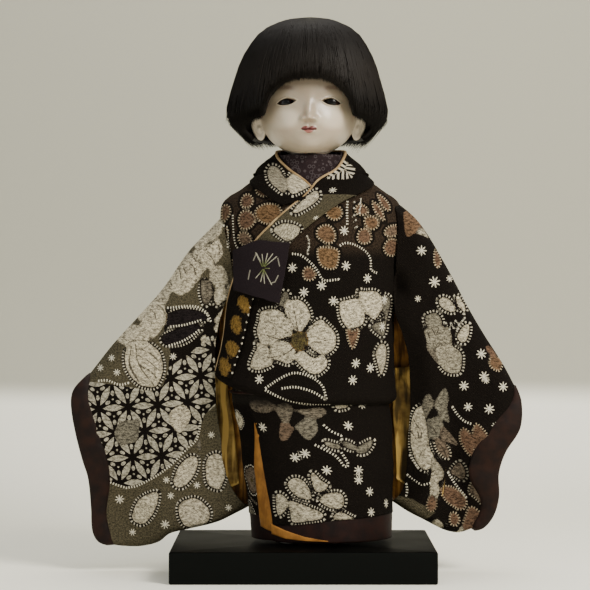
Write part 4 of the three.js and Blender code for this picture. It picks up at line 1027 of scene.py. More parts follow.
# %% Under-robe and the cord that ties the fold
turns = np.linspace(0, 360, 97)[None, :-1]
levels = np.linspace(8, 108, 30)[:, None]
under = egg(table_at(SKIRT_FORM, levels), turns, levels + 0 * turns, -7.0)
cloth("under_robe_cloth", place(under), 0.9, "doll", (COTTON,), ("under_robe",), closed=True)


# %% The cord
def tube(centers, side_step, rise_step, ring=10):
    """Grid of points round a line: a circle of the ring's points in the plane of two step vectors."""
    a = np.linspace(0, 2 * math.pi, ring, endpoint=False)[None, :, None]
    return centers[:, None, :] + np.cos(a) * side_step[:, None, :] + np.sin(a) * rise_step[:, None, :]


def tube_object(name, grid, body, material, replaced=(), closed=False):
    """A tube from its rings: joined end to end when closed, else with a fan over both ends."""
    rows, ring = grid.shape[:2]
    if closed:
        grid = np.concatenate([grid, grid[:1]])
    quads = grid_faces(len(grid), ring, True)
    if closed:
        quads = np.where(quads >= rows * ring, quads - rows * ring, quads)
        faces, points = [quads], grid[:-1].reshape(-1, 3)
    else:
        points = np.concatenate([grid.reshape(-1, 3), grid[:1].mean(axis=1), grid[-1:].mean(axis=1)])
        j = np.arange(ring)
        k = (j + 1) % ring
        last, total = (rows - 1) * ring, rows * ring
        caps = [np.stack([k, j, j * 0 + total], -1), np.stack([last + j, last + k, j * 0 + total + 1], -1)]
        faces = [quads, *caps]
    obj = make_object(name, points, faces, body, replaced)
    obj.data.materials.append(material)
    return obj


TIE = 104.5  # height of the cord's middle over the board
ring_turn = np.linspace(0, 360, 140, endpoint=False)
belt = egg(table_at(SKIRT_FORM, np.full(140, TIE)), ring_turn, TIE, 1.4)
belt_out = np.stack([np.cos(np.radians(ring_turn)), np.sin(np.radians(ring_turn)), 0 * ring_turn], -1)
twist = (1 + 0.12 * np.sin(np.radians(ring_turn) * 60))[:, None]
cord = tube_object("waist_cord_twist", tube(place(belt), belt_out * twist, np.array([[0, 0, 1.0]]) * twist), "doll",
                   WINE, ("waist_cord",), closed=True)
print("waist cord:", len(cord.data.polygons), "faces")

# %% [markdown]
# ## The inner collar
#
# A stiff strip of dark purple crepe with small pale rings stands round the neck. It could be a bent sheet; it
# is made as a short cone, lower in front, so that the chin clears it when the head turns.

# %% The inner collar
CONE_LOW, CONE_HIGH = np.array([0, 27, 24.5, 21.5]), np.array([0, 21.6, 20.2, 21.4])
CONE_FOOT, CONE_TOP = 246.3, 271.5


def cone(height):
    """Level sections of the neck's cone: straight lines from its foot to its top."""
    t = (np.asarray(height, float)[..., None] - CONE_FOOT) / (CONE_TOP - CONE_FOOT)
    return CONE_LOW + (CONE_HIGH - CONE_LOW) * t


def purple_print():
    """Dark purple crepe with a scatter of small rings and flecks."""
    p = Paint("purple_print")
    x, y, z = p.place()
    here = p.vector(x, y, z)
    spot = p.cells(here, 0.33)
    ring = size_of(spot - 0.36).step(0.11, 0.04)
    fleck = p.cells(here, 0.42).step(0.2, 0.12) * p.noise(here, 0.2, 2).step(0.5, 0.6)
    crepe = p.noise(here, 1.1, 4, 0.7)
    color = p.mix(crepe, (0.005, 0.0025, 0.0035), (0.026, 0.016, 0.017))
    color = p.mix(most(ring * 0.8, fleck * 0.6), color, (0.062, 0.05, 0.052))
    return p.finish(color, crepe * 0.1 + 0.8, crepe, 0.3, Sheen_Weight=0.02, Specular_IOR_Level=0.1)


turns = np.linspace(0, 360, 181)[None, :-1]
share = np.linspace(0, 1, 34)[:, None]
rim = 272.2 - 3.1 * smooth(-np.sin(np.radians(turns)), 0.05, 0.3)
level = CONE_FOOT + (rim - CONE_FOOT) * share
inner = egg(cone(level), turns, level)
swell = waves(turns * 0.4, level, 11, 21) * 0.3 + np.exp(-((rim - level) / 1.4) ** 2) * 0.4
inner = inner + normals(inner, True) * swell[..., None]
neckcloth = cloth("inner_collar_cloth", place(inner), 1.1, "doll", (purple_print(),) * 3, ("inner_collar",),
                  closed=True)
print("inner collar:", len(neckcloth.data.polygons), "faces")

# %% [markdown]
# ## The robe's collar band
#
# On the real robe one folded band starts at the right hip, crosses the chest, passes round the left of the
# neck and behind it, and comes down again under itself. Bending a straight strip there would need a
# simulation. Stations that give the angle and height of both edges keep it exactly where the photograph
# shows it. A thin peach piping ends its inner edge.

# %% The robe's collar band
UNDER, OVER, BEHIND = 0.72, 2.52, 1.4
STATIONS = [
    [194, 112, 217, 106, UNDER, 0], [195, 140, 222, 138, UNDER, 0], [199, 168, 229, 168, UNDER, 0],
    [214, 192, 243, 190, UNDER, 0], [233, 210, 257, 208, UNDER, 0], [247, 222, 276, 226, OVER, 0],
    [261, 236, 290, 236, OVER, 0.3], [278, 250, 306, 242, OVER, 1], [306, 258, 326, 247, OVER, 1],
    [332, 266, 344, 251, BEHIND, 1], [360, 271.5, 360, 253, BEHIND, 1], [400, 273.5, 400, 252, BEHIND, 1],
    [450, 274.5, 450, 251, BEHIND, 1], [500, 273.5, 500, 252, BEHIND, 1], [540, 271.5, 540, 253, BEHIND, 1],
    [568, 266, 556, 251, BEHIND, 1], [596, 258, 574, 247, UNDER, 1], [622, 250, 594, 242, UNDER, 1],
    [640, 240, 612, 233, UNDER, 0.2],
]
stations = np.c_[np.linspace(0, 1, len(STATIONS)), STATIONS]  # angle, height, angle, height, lift, on the cone
along = np.linspace(0.014, 1, 420)[:, None]
wide = np.linspace(0, 1, 40)[None, :]
reading = table_at(stations, along[:, 0])[:, None, :]
turn_at = reading[..., 0] * (1 - wide) + reading[..., 2] * wide
rise_at = reading[..., 1] * (1 - wide) + reading[..., 3] * wide
on_robe = egg(table_at(ROBE, rise_at), turn_at, rise_at, reading[..., 4])
on_cone = egg(cone(rise_at), turn_at, rise_at, reading[..., 4] + 0.6)
seat = 1 + (smooth(wide * 1.15) - 1) * np.clip(reading[..., 5], 0, 1)
band = on_cone + (on_robe - on_cone) * seat[..., None]
up = normals(band)
up = up * np.sign(np.sum(up[..., :2] * band[..., :2], axis=-1))[..., None]
band_u = np.cumsum(np.linalg.norm(np.diff(band, axis=0, prepend=band[:1]), axis=-1), axis=0)
band_v = np.cumsum(np.linalg.norm(np.diff(band, axis=1, prepend=band[:, :1]), axis=-1), axis=1)
puff = 0.9 + 0.9 * np.sin(wide * math.pi) ** 0.5
puff = puff + waves(band_u, band_v, 22, 33) * 0.3 + waves(band_u, band_v, 7, 34) * 0.12
band_face = band + up * puff[..., None]


# %% The print of the collar band
def on_over_band(motifs):
    """Motifs listed as seen from the front, moved to the band's coordinates on its upper layer."""
    world, placed = place(band), []
    for x, z, *rest in motifs:
        far = np.hypot(world[..., 0] - x, world[..., 2] - z) + (along > 0.55) * 500.0
        k = np.unravel_index(np.argmin(far), far.shape)
        placed.append((band_u[k], band_v[k], *rest))
    return placed


collar_stars = on_over_band([(20.3, 264.5, 3, 3, 0, 8, 0), (9, 246, 2.4, 2.4, 0, 8, 0)])
DOT_LINE = lists("-31,189 -32,180 -34.5,169 -37,159 -40,148 -46,136 -49,130", 2)[0]
dots = [(x, z, 1.0, 1.0, 0, 8, 0) for x, z in curve(DOT_LINE, np.linspace(0, 1, 13))]
OVER_PATCHES = lists("""
    5 0 16,273 20,280 25,287 31,291 35,285 35,278 33,273 25,272 / 0 1 -3,255 2,260 9,264 11,260 8,256 2,252 -4,249
    -7,250 / 0.2 1 -20,238 -15,242 -8,242 -2,239 -4,234 -10,230 -15,233""")
UNDER_PATCHES = lists("""
    0.6 1 -24,278 -21,282 -16,280 -13,274 -11,268 -13,263 -18,266 -23,271 / 0 1 -10,273 -5,279 1,278 6,275 9,272
    4,267 -3,263 -8,262 -10,268""")
GOLD_SPOTS = [(-39.6, 187, 20), (-45, 173, 10), (-47.8, 156.6, 0), (-53, 143.8, 0)]
OVER_PATCHES += [oval(3, 0, x, z, 4.2, 6.2, turn) for x, z, turn in GOLD_SPOTS] + [oval(1, 1, -31, 214, 8, 6, 30)]
world, run = place(band), np.broadcast_to(along, band_u.shape)
drawn = patch_layer(world[..., 0], world[..., 2], OVER_PATCHES, (run < 0.5) & (world[..., 1] < 0))
beneath = patch_layer(world[..., 0], world[..., 2], UNDER_PATCHES, (run > 0.8) & (world[..., 1] < 0))
drawn = {key: np.where((run > 0.65)[..., None], beneath[key], drawn[key]) for key in drawn}
more = scatter((290, 3), (560, 22), 24, 1.2, any_bloom, (), 14)
more = [m for m in more if 0.5 < np.interp(m[0], band_u[:, 20], along[:, 0]) < 0.8]
olive_part = smooth(world[..., 2], 226, 231) * (1 - smooth(world[..., 2], 259, 264)) * (run < 0.5) * 8 - 4
band_marks = print_marks(band_u, band_v, more, [BLANK], collar_stars + on_over_band(dots), olive=olive_part,
                         patches=drawn)
collar = cloth("robe_collar_band", place(band_face), 1.9, "doll", (PRINT,) * 3, ("robe_collar",), marks=band_marks)
if np.sum(normals(band)[210, 20, :2] * band[210, 20, :2]) < 0:
    collar.data.flip_normals()
edge = place(band_face[:, 0] * 0.5 + band[:, 0] * 0.5)
edge_step = np.gradient(edge, axis=0)
edge_step = edge_step / np.linalg.norm(edge_step, axis=-1, keepdims=True)
edge_out = up[:, 0]
edge_side = np.cross(edge_step, edge_out)
tube_object("collar_piping", tube(edge, edge_out * 1.15, edge_side * 0.9), "doll", PIPING)
print("collar:", len(collar.data.polygons), "faces")

# %% [markdown]
# ## The felt square
#
# A ragged square of grey-brown felt with a few long stitches is sewn on the chest. It could be a flat card, but
# it has to follow the robe, so its five corners are read from the photograph and each point is pushed out to
# the robe's section at its height. The stitches are drawn by the material.

# %% The felt square with its sewn star
STEMS = lists("-5.1,10.8 -1,9.4 2.4,10.1 6.8,9.4 9.2,7.7 4.4,-0.1 -2.4,-9.7 0.7,-11 6.1,-11.7 -5.8,-7", 2)[0]


def felt():
    """Grey-brown felt with a star sewn in olive and pale thread, on its own stored coordinates."""
    p = Paint("felt_square")
    u, v, _ = p.mark("felt_at")
    here = p.vector(u, v)
    hair = p.noise(here, 1.4, 4, 0.75)
    color = p.mix(hair, (0.0035, 0.0024, 0.0032), (0.02, 0.013, 0.0155))
    stem = None
    for k, (x, y) in enumerate(STEMS):
        length = math.hypot(x, y)
        ax, ay = x / length, y / length
        run, off = u * ax + v * ay, size_of(v * ax - u * ay + (k % 3 - 1) * 0.4)
        one = off.step(0.42, 0.2) * run.step(0.6, 1.2) * run.step(length + 0.2, length - 0.4)
        stem = one if stem is None else most(stem, one)
    r = root(u * u + v * v)
    thread = p.mix(r.step(2.5, 7.5), (0.1, 0.115, 0.04), (0.36, 0.34, 0.26))
    color = p.mix(p.mark("stroke")[0].step(0.5, 0.25) * 0.7, color, (0.3, 0.28, 0.22))
    color = p.mix(stem, color, thread)
    return p.finish(color, hair * 0.05 + 0.92, hair + stem * 0.8, 0.45, Sheen_Weight=0.01, Sheen_Roughness=0.7,
                    Specular_IOR_Level=0.08)


# %% The square laid on the robe
PATCH = np.array([[-37.7, 209.4], [-14.5, 207.4], [-22, 166], [-53.7, 175.3], [-54.1, 202.6]], float)
FELT_STROKES = lists("""
    -7,5 -5,9.4 / -4.7,9.8 -2,4.5 / 9.8,6.5 11,1 / -9.3,-1.6 -10.5,-7.9 / 10.1,-5.3 8.2,-9.1 /
    8.2,-9.6 4.8,-10.7""", 2)
s, t = np.meshgrid(np.linspace(0, 1, 70), np.linspace(0, 1, 80))
ragged = 0.5 * waves(s * 30, t * 30, 6, 41, 5) * (np.maximum(np.abs(s - 0.5), np.abs(t - 0.5)) > 0.44)
S, T = s[..., None], t[..., None]
BEND = 0.42  # share of the upper edge where its corner lies
left_part = PATCH[4] + (PATCH[0] - PATCH[4]) * np.clip(S / BEND, 0, 1)
top_row = np.where(S < BEND, left_part, PATCH[0] + (PATCH[1] - PATCH[0]) * (S - BEND) / (1 - BEND))
bottom_row = PATCH[3] + (PATCH[2] - PATCH[3]) * S
flat = top_row + (bottom_row - top_row) * T + ragged[..., None] * 0.6
form = table_at(ROBE, flat[..., 1])
far_out = 4.5 + waves(s * 34, t * 38, 24, 43) * 0.35
sideways = np.clip((flat[..., 0] - form[..., 0]) / (form[..., 1] + far_out), -0.99, 0.99)
deep = (form[..., 2] + far_out) * np.sqrt(1 - sideways**2)
square = np.stack([flat[..., 0], -deep, flat[..., 1]], -1)[::-1]
STAR_SIDE, STAR_LEVEL = -32.6, 190.5
felt_at = np.stack([flat[..., 0] - STAR_SIDE, flat[..., 1] - STAR_LEVEL, 0 * s], -1)[::-1]
felt_marks = {"felt_at": felt_at, **stitch_lines(felt_at[..., 0], felt_at[..., 1], FELT_STROKES, "stroke")}
patch = cloth("felt_square", place(square), 1.1, "doll", (felt(),) * 3, ("felt_patch",), marks=felt_marks)
print("patch:", len(patch.data.polygons), "faces")

# %% [markdown]
# ## The long sleeves
#
# Each sleeve is a flattened tube that hangs from the arm. Its front and back faces are patches blended
# from four border lines: the top along the arm, the cuff, the hem, and the body side. The two faces
# differ at the body side, so the back face's orange lining looks out past the front edge. At the
# armhole the front face runs on to the robe.

# %% Border lines of the sleeves, as side and height in the frame
RIGHT = {
    "side": -1,
    "top": lists("-47.2,259.4 -60.6,244.4 -80,224.1 -97.8,198.5 -115.4,178.4 -133.1,159 -148.7,139.1", 2)[0],
    "cuff": lists("""
        -148.7,139.1 -149.6,122.8 -145.2,100.7 -138.7,78.6 -137,63.1 -139.1,39.4 -135.3,23.1 -132.4,18.6""", 2)[0],
    "hem": lists("""
        -38,45.5 -45.5,41.5 -59.7,34.9 -79.8,30.3 -92.9,27 -101.2,20.8 -113.9,17.5 -126.5,17.7 -132.4,18.6""", 2)[0],
    "front": lists("""
        -47.2,259.4 -54.4,247 -54,236 -51.4,227 -49.3,210 -49.3,197.1 -54.1,188 -60.2,165 -61.2,140 -60.2,113.6
        -57.4,93.1 -56.2,77.9 -50.5,59.8 -42.4,48.5 -38,45.5""", 2)[0],
    "back": lists("""
        -47.2,259.4 -54.4,247 -54,236 -51.4,227 -49.3,210 -49.3,197.1 -50.4,188 -51.5,165 -50,140 -47,120 -44,101
        -42.2,84 -40.6,66 -38.6,52 -38,45.5""", 2)[0],
    "band": lists("""
        -148.7,139.1 -158.6,127.5 -160.1,116.7 -157.1,98 -152.5,79.3 -148.7,66.1 -147,45.3 -146.3,30.1 -142.6,22.4
        -135,18.4""", 2)[0],
}
LEFT = {
    "side": 1,
    "top": lists("""
        60,262 70.5,254.6 79.6,246.3 88.6,233.8 103.7,207.5 115,186 126.8,165.9 139.9,145.4 147.9,130.5""", 2)[0],
    "cuff": lists("147.9,130.5 146.2,120.8 134,103.5 121.9,84.8 118.4,72 119.8,63 125,51 124,40.4 117.5,30.4", 2)[0],
    "hem": lists("62.6,49 73,42.6 83.8,37 92,32.4 100,28.6 109,27.4 117.5,30.4", 2)[0],
    "front": lists("""
        60,262 64,255 65.5,243 65,227.2 63.5,198.1 63.5,182 69.2,166 73.2,150 74.3,135 74.6,116.7 73.4,94.5 72,69.6
        69,57 62.6,49""", 2)[0],
    "back": lists("""
        60,262 64,255 65.5,243 65,227.2 63.5,198.1 63,182 62.6,166 62.6,150 61.4,135 60.6,112 61.8,90 62.6,72
        62.4,57 62.6,49""", 2)[0],
    "band": lists("""
        147.9,130.5 150.9,119 149.6,101.4 139.6,84.8 135.1,70.2 135.4,53.6 132.3,41.1 126,32.6 119,29.4""", 2)[0],
}
TUBE, HEM_HALF = 14.8, 6.4


# %% The faces of a sleeve
def patch_of(plan, edge, s, v):
    """Coons patch: the four border lines blended, less the blend of the corners."""
    top, hem = curve(plan["top"], s), curve(plan["hem"], s)
    side, cuff = curve(plan[edge], v), curve(plan["cuff"], v)
    a, b, c, d = top[0], top[-1], hem[0], hem[-1]
    S, V = s[:, None, None], v[None, :, None]
    ruled = top[:, None] * (1 - V) + hem[:, None] * V + side[None] * (1 - S) + cuff[None] * S
    return ruled - ((a * (1 - S) + b * S) * (1 - V) + (c * (1 - S) + d * S) * V)


def sleeve_faces(plan, s, v):
    """Front and back faces of a sleeve as grids over s (body side to cuff) and v (arm to hem)."""
    faces = []
    for edge, sign in (("front", -1), ("back", 1)):
        flat = patch_of(plan, edge, s, v)
        away = flat - flat[:, :1]
        run = np.linalg.norm(away, axis=-1)
        total = run[:, -1:]
        slope = curve(plan["top"], np.clip(s + 0.02, 0, 1)) - curve(plan["top"], np.clip(s - 0.02, 0, 1))
        slope = slope / np.linalg.norm(slope, axis=-1, keepdims=True)
        deep = np.abs(away[..., 0] * slope[:, None, 1] - away[..., 1] * slope[:, None, 0])
        under = np.clip(1 - deep / TUBE, 0, 1)
        half = TUBE * np.sqrt(1 - under**2)
        half = half - (TUBE - HEM_HALF) * smooth(v, 0.3, 0.9)[None, :]
        to_hem = np.clip(1 - (total - run) / 5, 0, 1)
        half = half * np.sqrt(np.maximum(1 - to_hem**2, 0))
        phase = 2 * math.pi * (1.3 * s + 0.25 + 0.12 * plan["side"])
        bow = 3.2 * smooth(v, 0.12, 0.72)[None, :] * np.sin(phase)[:, None]
        x, z = flat[..., 0], flat[..., 1]
        fine = waves(x, z, 30, 50 + plan["side"]) * 0.8 + waves(x, z, 11, 52, 5) * 0.3 + waves(x, z, 5, 54, 5) * 0.12
        y = sign * half + bow + fine * sign * smooth(half, 0, 4) * 0.8
        # the armhole: the face runs on to the robe's surface
        form = table_at(ROBE, z - BOARD_TOP)
        share = np.clip((x - SIDE - form[..., 0]) / form[..., 1], -1, 1)
        robe_y = sign * (form[..., 2] if sign < 0 else form[..., 3]) * np.sqrt(1 - share**2)
        join = (1 - smooth(s, 0.0, 0.16))[:, None] * smooth(z, 186, 200) * smooth(deep, 0, 6)
        over_arm = 13.6 * smooth(deep, 0, 6) * (0.5 + 0.5 * smooth(deep, 52, 34))
        y = y * (1 - join) + sign * np.maximum(np.abs(robe_y) + 0.6, over_arm) * join
        faces.append(np.stack([x, y, z], -1))
    return faces


# %% [markdown]
# ## The print of the sleeves
#
# The fronts carry the motifs of the photograph, each in its own place. The backs, which no picture shows, get
# a scatter of the same kinds, so that the cloth reads as one piece all round.

# %% Outlines on the sleeves
RIGHT_PRINT = {
    "patches": lists("""
        0.2 0 -80,232 -70,247 -60,254 -56,246 -57,236 -65,231 -70,227 -73,226 / 0.2 0 -77,223 -72,225 -65,228
        -59,232 -56,227 -56,221 -61,215 -65,212 -71,216 / 0.2 0 -92,219 -86,226 -78,222 -74,217 -68,212 -70,208
        -73,204 -78,208 -82,210 / 0.1 0 -103,206 -96,214 -87,214 -83,212 -78,208 -74,203 -78,197 -85,193 -90,196 /
        0.3 0 -65,209 -58,214 -54,211 -52,203 -59,200 -63,203 / 0.3 0 -110,196 -103,204 -92,201 -93,192 -95,188
        -98,187 / 0.1 0 -121,182 -112,192 -100,189 -96,184 -95,177 -98,170 -102,165 -110,164 -113,175 / 6 1 -94,179
        -86,183 -77,183 -70,181 -67,177 -73,175 -82,173 -90,172 -94,173 / 6 1 -97,165 -88,169 -77,172 -71,171
        -75,166 -82,161 -92,159 -97,161 / 1.2 1 -70,203 -65,203 -63,196 -65,189 -68,187 -70,191 -71,197 / 0.1 1
        -59,200 -56,201 -54,197 -54,192 -58,187 -61,188 -61,195 / 0.4 0 -52,200 -49,200 -50,192 -52,188 -53,193 /
        0.2 0 -62,176 -59,180 -55,185 -52,188 -52,183 -56,179 -59,175 / 0.1 0 -62,171 -59,173 -56,171 -57,168
        -60,167 / 0.2 0 -71,164 -68,166 -67,164 -68,160 -70,160 / 0.2 0 -62,162 -59,164 -58,162 -59,157 -61,157 /
        0.05 1 -123,154 -119,161 -112,162 -105,159 -99,153 -97,143 -99,135 -103,130 -112,131 -119,137 -123,145 / 0.2
        0 -134,166 -124,174 -114,172 -108,169 -105,164 -114,161 -122,158 / 1 0 -131,98 -127,105 -119,107 -113,106
        -114,100 -115,93 -121,90 -128,90 / 0.2 0 -93,110 -88,116 -82,117 -78,111 -80,104 -85,98 -90,101 / 0.15 1
        -90,65 -86,75 -79,81 -74,80 -74,73 -78,65 -84,60 -89,61 / 0.1 1 -67,79 -61,83 -56,80 -54,70 -56,62 -59,58
        -66,61 -68,70 / 0.1 1 -119,41 -115,50 -108,55 -101,56 -102,47 -106,39 -112,34 -118,36 / 0.15 1 -86,48 -77,52
        -70,49 -65,42 -68,33 -78,31 -85,37 / 1.1 0 -74,90 -72,93 -71,88 -72,84"""),
    "stars": lists("""
        -133,150,2.8 -141,143,2.8 -129,140,2.8 -90,151,2.8 -128,51,3.6 -119,28,2.8 -95,65,2.8 -92,54,2.8 -74,61,2.8
        -64,96,2.8 -96,34,3.6 -52,45,2.8""", 3)[0],
    "ink": lists("""
        -78,223 -75,218 -70,215 / -75,222 -72,220 -68,219 / -79,216 -76,213 -74,207 / -83,213 -82,210 -81,208 /
        -86,211 -85,208 -85,205 / -73,226 -70,225 -66,226 -62,231 / -102,187 -98,185 -96,181 / -106,184 -103,181
        -102,177 / -95,203 -92,202 -91,200 / -67,223 -63,219 -61,215 / -59,230 -58,226 -58,222 / -116,160 -114,146
        -103,131 / -114,157 -106,153 -100,148 / -114,152 -106,147 -99,141 / -113,145 -106,141 -101,136 / -119,158
        -120,146 -115,136 / -121,149 -119,141 -114,134 / -122,160 -117,162 -110,162""", 2),
    "dots": lists("-49.6,253 -49.6,248 -49.4,244 -49,240 -48.9,235 -48,229.5 -46,224.5", 2)[0],
    "lines": lists("""
        -142,134 -136,134.5 -127,131.4 -121,132.7 / -93,158.4 -84,161.4 -77,165.4 -72,169.3 / -94,184.7 -75,185.8
        -67,181.4 -64,175.6 / -92,171.6 -82,173 -71,176 / -55,242 -52.5,237 -52.1,226 / -136,64 -122,59 -108,64.4
        -92,75 -84,83.6 -74,93 -71.5,106""", 2),
    "lattice": lists("""
        -154,133.5 -141.6,133 -121.7,130 -106,128 -97,130 -93,143.5 -77,154.4 -67,164.4 -50,172 -50,140 -61,116.6
        -69,109.7 -74,93.8 -84,83.8 -92,75 -108,64.7 -121.7,59.4 -136,64 -155,65""", 2)[0],
    "olive": lists("""
        -152,62 -152,-10 -30,-10 -30,122 -61,116.6 -69,109.7 -74,93.8 -84,83.8 -92,75 -108,64.7
        -121.7,59.4 -136,64""", 2)[0],
    "olive_top": lists("""
        -40,270 -49,186 -64,186 -74,184 -95,186 -97,160 -92,156 -93,143 -97,130 -106,128 -122,130 -160,133 -170,160
        -80,270""", 2)[0],
}
LEFT_PRINT = {
    "patches": lists("""
        2.1 0 70,251 75,252 80,246 84,240 78,237 72,234 70,242 / 0.5 0 79,242 82,243 85,238 88,233 83,235 79,237 / 2
        1 92,225 94,223 96,218 95,214 93,213 91,217 / 0.3 1 94,190 97,192 102,190 106,184 104,182 99,183 95,186 /
        0.1 1 106,192 109,192 113,185 112,182 108,186 / 0.1 1 107,166 111,172 115,173 115,167 112,161 108,162 / 0.9
        1 85,179 92,181 96,176 95,172 89,172 85,174 / 0.75 0 84,169 89,171 96,171 101,171 103,164 102,158 95,160
        88,157 85,163 / 0.6 1 94,158 102,158 109,154 110,147 108,140 100,140 95,145 92,152 / 1.2 0 86,158 91,156
        94,147 91,149 87,154 / 2.1 1 129,147 132,151 138,149 139,145 136,141 131,143 / 2 0 127,158 130,158 134,153
        132,151 128,154 / 0 1 75,101 76,108 79,115 83,114 85,104 87,91 90,81 88,74 84,72 80,76 77,82 75,91 / 1.1 0
        84,123 88,125 90,119 89,115 85,109 83,116 / 1 0 92,120 95,126 99,129 101,122 100,115 102,105 97,108 92,115 /
        1 0 87,107 94,109 97,103 94,96 88,94 87,101 / 1.6 1 92,93 97,92 102,84 101,80 97,82 93,87 / 1.5 0 94,102
        100,100 107,91 106,89 97,94 / 2 0.6 109,98 112,101 117,95 118,88 119,81 114,84 110,91 / 2 0.8 118,101
        121,104 128,95 122,87 118,91 / 1.5 0.5 103,70 109,77 113,70 111,65 107,67 / 1.6 0.6 116,57 119,65 125,57
        126,48 120,53 / 2 0.8 96,59 103,60 111,55 114,49 111,44 105,46 99,51 / 2 1 103,41 107,41 109,37 107,33
        103,34 / 2 0.7 113,38 117,46 125,40 123,32 118,29 112,31 / 0.7 0 88,81 92,79 97,73 98,67 95,65 90,71 / 0.4 0
        89,68 92,69 94,62 94,53 90,53 88,59 / 2 0.4 88,53 91,54 93,47 90,43 86,46 / 0.3 0 90,36 94,37 98,33 97,30
        92,31 / 0.3 0 107,28 111,32 111,27 107,26"""),
    "stars": lists("""
        82,224.3,4 91,202.6,4.4 102,205,2.8 79.5,191,2.6 123.6,152.8,4 125.3,137.2,4 111.4,130.7,3.8 138.7,130,3.8
        126.8,134.3,2.6 114.4,116,3.4 129,114.6,4 133,103,2.8""", 3)[0],
    "ink": lists("""
        75,101 80,98 84,98 / 75,98 79,96 83,96 / 76,94 79,93 82,94 / 77,107 80,102 84,101 / 81,81 83,85 87,88 /
        94,91 97,87 100,81 / 87,106 90,102 92,98 / 95,101 100,96 105,91 / 99,53 104,52 109,52 / 103,67 107,70 111,73
        / 94,159 99,159 102,160 / 89,171 92,166 94,171 / 86,168 89,161 94,158""", 2),
    "dots": lists("""
        105.6,175.7 102.4,174 108,173.2 110.5,175.7 112.2,177.7 104.4,170.7 101.5,169.9 107,170 99,174""", 2)[0],
    "lines": lists("""
        103.6,116 107.4,110.3 112,106 117.5,104 / 72.6,68.3 76.5,65 82.7,61.8 88.5,62.8 / 74.3,82 77.3,77.5
        80.5,72.7 / 72,62 72.6,57.4 72,53.5 / 100.5,27.2 106,26.8 111,28 / 101,70 106,62 113.6,52.7""", 2),
    "olive": lists("60,54 76.5,52 86.6,45.7 92,42 87,38 70,34 50,36", 2)[0],
}


# %% The cloth of the sleeves
def sleeve(name, plan, drawing, nodes):
    """One sleeve: its front and back faces are joined over the arm and along the hem."""
    s = np.linspace(0, 1, 150)
    v = np.linspace(0, 1, 118) ** 1.1
    front, back = sleeve_faces(plan, s, v)
    ring = np.concatenate([front[:, ::-1], back[:, 1:]], axis=1)
    if plan["side"] > 0:
        ring = ring[::-1]
    u, w = ring[..., 0], ring[..., 2]
    half = np.broadcast_to(np.arange(ring.shape[1]) < len(v), u.shape)
    patches = patch_layer(u, w, drawing["patches"], half)
    stars = [(x, z, r, r, 0, 8, 0) for x, z, r in drawing["stars"]]
    stars += [(x, z, 1.0, 1.0, 0, 8, 0) for x, z in drawing["dots"]]
    low, high = (np.min(u), 20), (np.max(u), 250)
    blooms = scatter(low, high, 14, 1.3, any_bloom, (), 60 + plan["side"])
    leaves = scatter(low, high, 12, 1.9, any_leaf, blooms, 62 + plan["side"])
    taken = [(m[0], m[1], m[2] * 0.75) for m in blooms]
    more_stars = scatter(low, high, 30, 2.6, any_star, taken, 64 + plan["side"])
    olive = inside(u, w, drawing["olive"])
    if "olive_top" in drawing:
        olive = np.maximum(olive, inside(u, w, drawing["olive_top"]))
    lattice = inside(u, w, drawing["lattice"]) if "lattice" in drawing else None
    marks = print_marks(u, w, [BLANK], [BLANK], stars, drawing["lines"], olive, lattice, patches=patches,
                        ink=drawing["ink"])
    behind = print_marks(u, w, blooms, leaves, more_stars, [], olive, lattice)
    marks = {key: np.where(half[..., None], marks[key], behind[key]) for key in marks}
    obj = cloth(name, ring, 1.3, None, (PRINT, LINING, PRINT), nodes, marks=marks)
    0.0055 + plan["side"] * 0.0455
    0.0055 + plan["side"] * 0.0695
    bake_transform(obj)
    return obj


right_sleeve = sleeve("sleeve_right_cloth", RIGHT, RIGHT_PRINT, ("sleeve_right", "sleeve_lining_right"))
left_sleeve = sleeve("sleeve_left_cloth", LEFT, LEFT_PRINT, ("sleeve_left", "sleeve_lining_left"))
print("sleeves:", len(right_sleeve.data.polygons), len(left_sleeve.data.polygons), "faces")

# %% [markdown]
# ## The padded cuffs
#
# At the cuff the brown lining is padded and rolls outwards as a soft roll. It could be part of the sleeve's
# sheet. A separate tube along the cuff's line, as wide as the band is in the photograph, gives the roll its
# own thickness and meets the sleeve without a seam.

# %% The padded brown band round each cuff
def cuff_band(name, plan, body):
    """A flattened tube round the cuff's edge: down its front, and up its back."""
    v = np.linspace(0, 1, 150)
    front, back = sleeve_faces(plan, np.linspace(0.9, 1, 6), v)
    outer, near = curve(plan["band"], v), curve(plan["cuff"], v)
    loops = []
    for face, start, reach in ((front, near, outer), (back[:, ::-1], near[::-1], outer[::-1])):
        run = reach - start
        wide = np.linalg.norm(run, axis=-1)
        y = face[-1, :, 1] * 0.93
        center = np.stack([start[:, 0] + run[:, 0] * 0.42, y, start[:, 1] + run[:, 1] * 0.42], -1)
        half = wide * 0.58 + 0.9
        direction = np.stack([run[:, 0], 0 * wide, run[:, 1]], -1) / np.maximum(wide, 0.6)[:, None]
        weak = smooth(wide, 0.3, 1.4)[:, None]
        direction = direction * weak + np.array([plan["side"] * 1.0, 0, 0]) * (1 - weak)
        loops.append((center, direction * half[:, None]))
    center = np.concatenate([loops[0][0], loops[1][0][1:-1]])
    arm = np.concatenate([loops[0][1], loops[1][1][1:-1]])
    thick = np.zeros_like(center)
    thick[:, 1] = np.where(np.arange(len(center)) < len(v), -1.9, 1.9)
    thick = thick * (1 + 0.14 * np.sin(np.arange(len(center)) * 0.21))[:, None]
    for _ in range(6):
        thick = (np.roll(thick, 1, axis=0) + thick * 2 + np.roll(thick, -1, axis=0)) / 4
    band = tube_object(name, tube(center, arm, thick, 18), body, BAND, closed=True)
    print(f"{name}:", len(band.data.polygons), "faces")


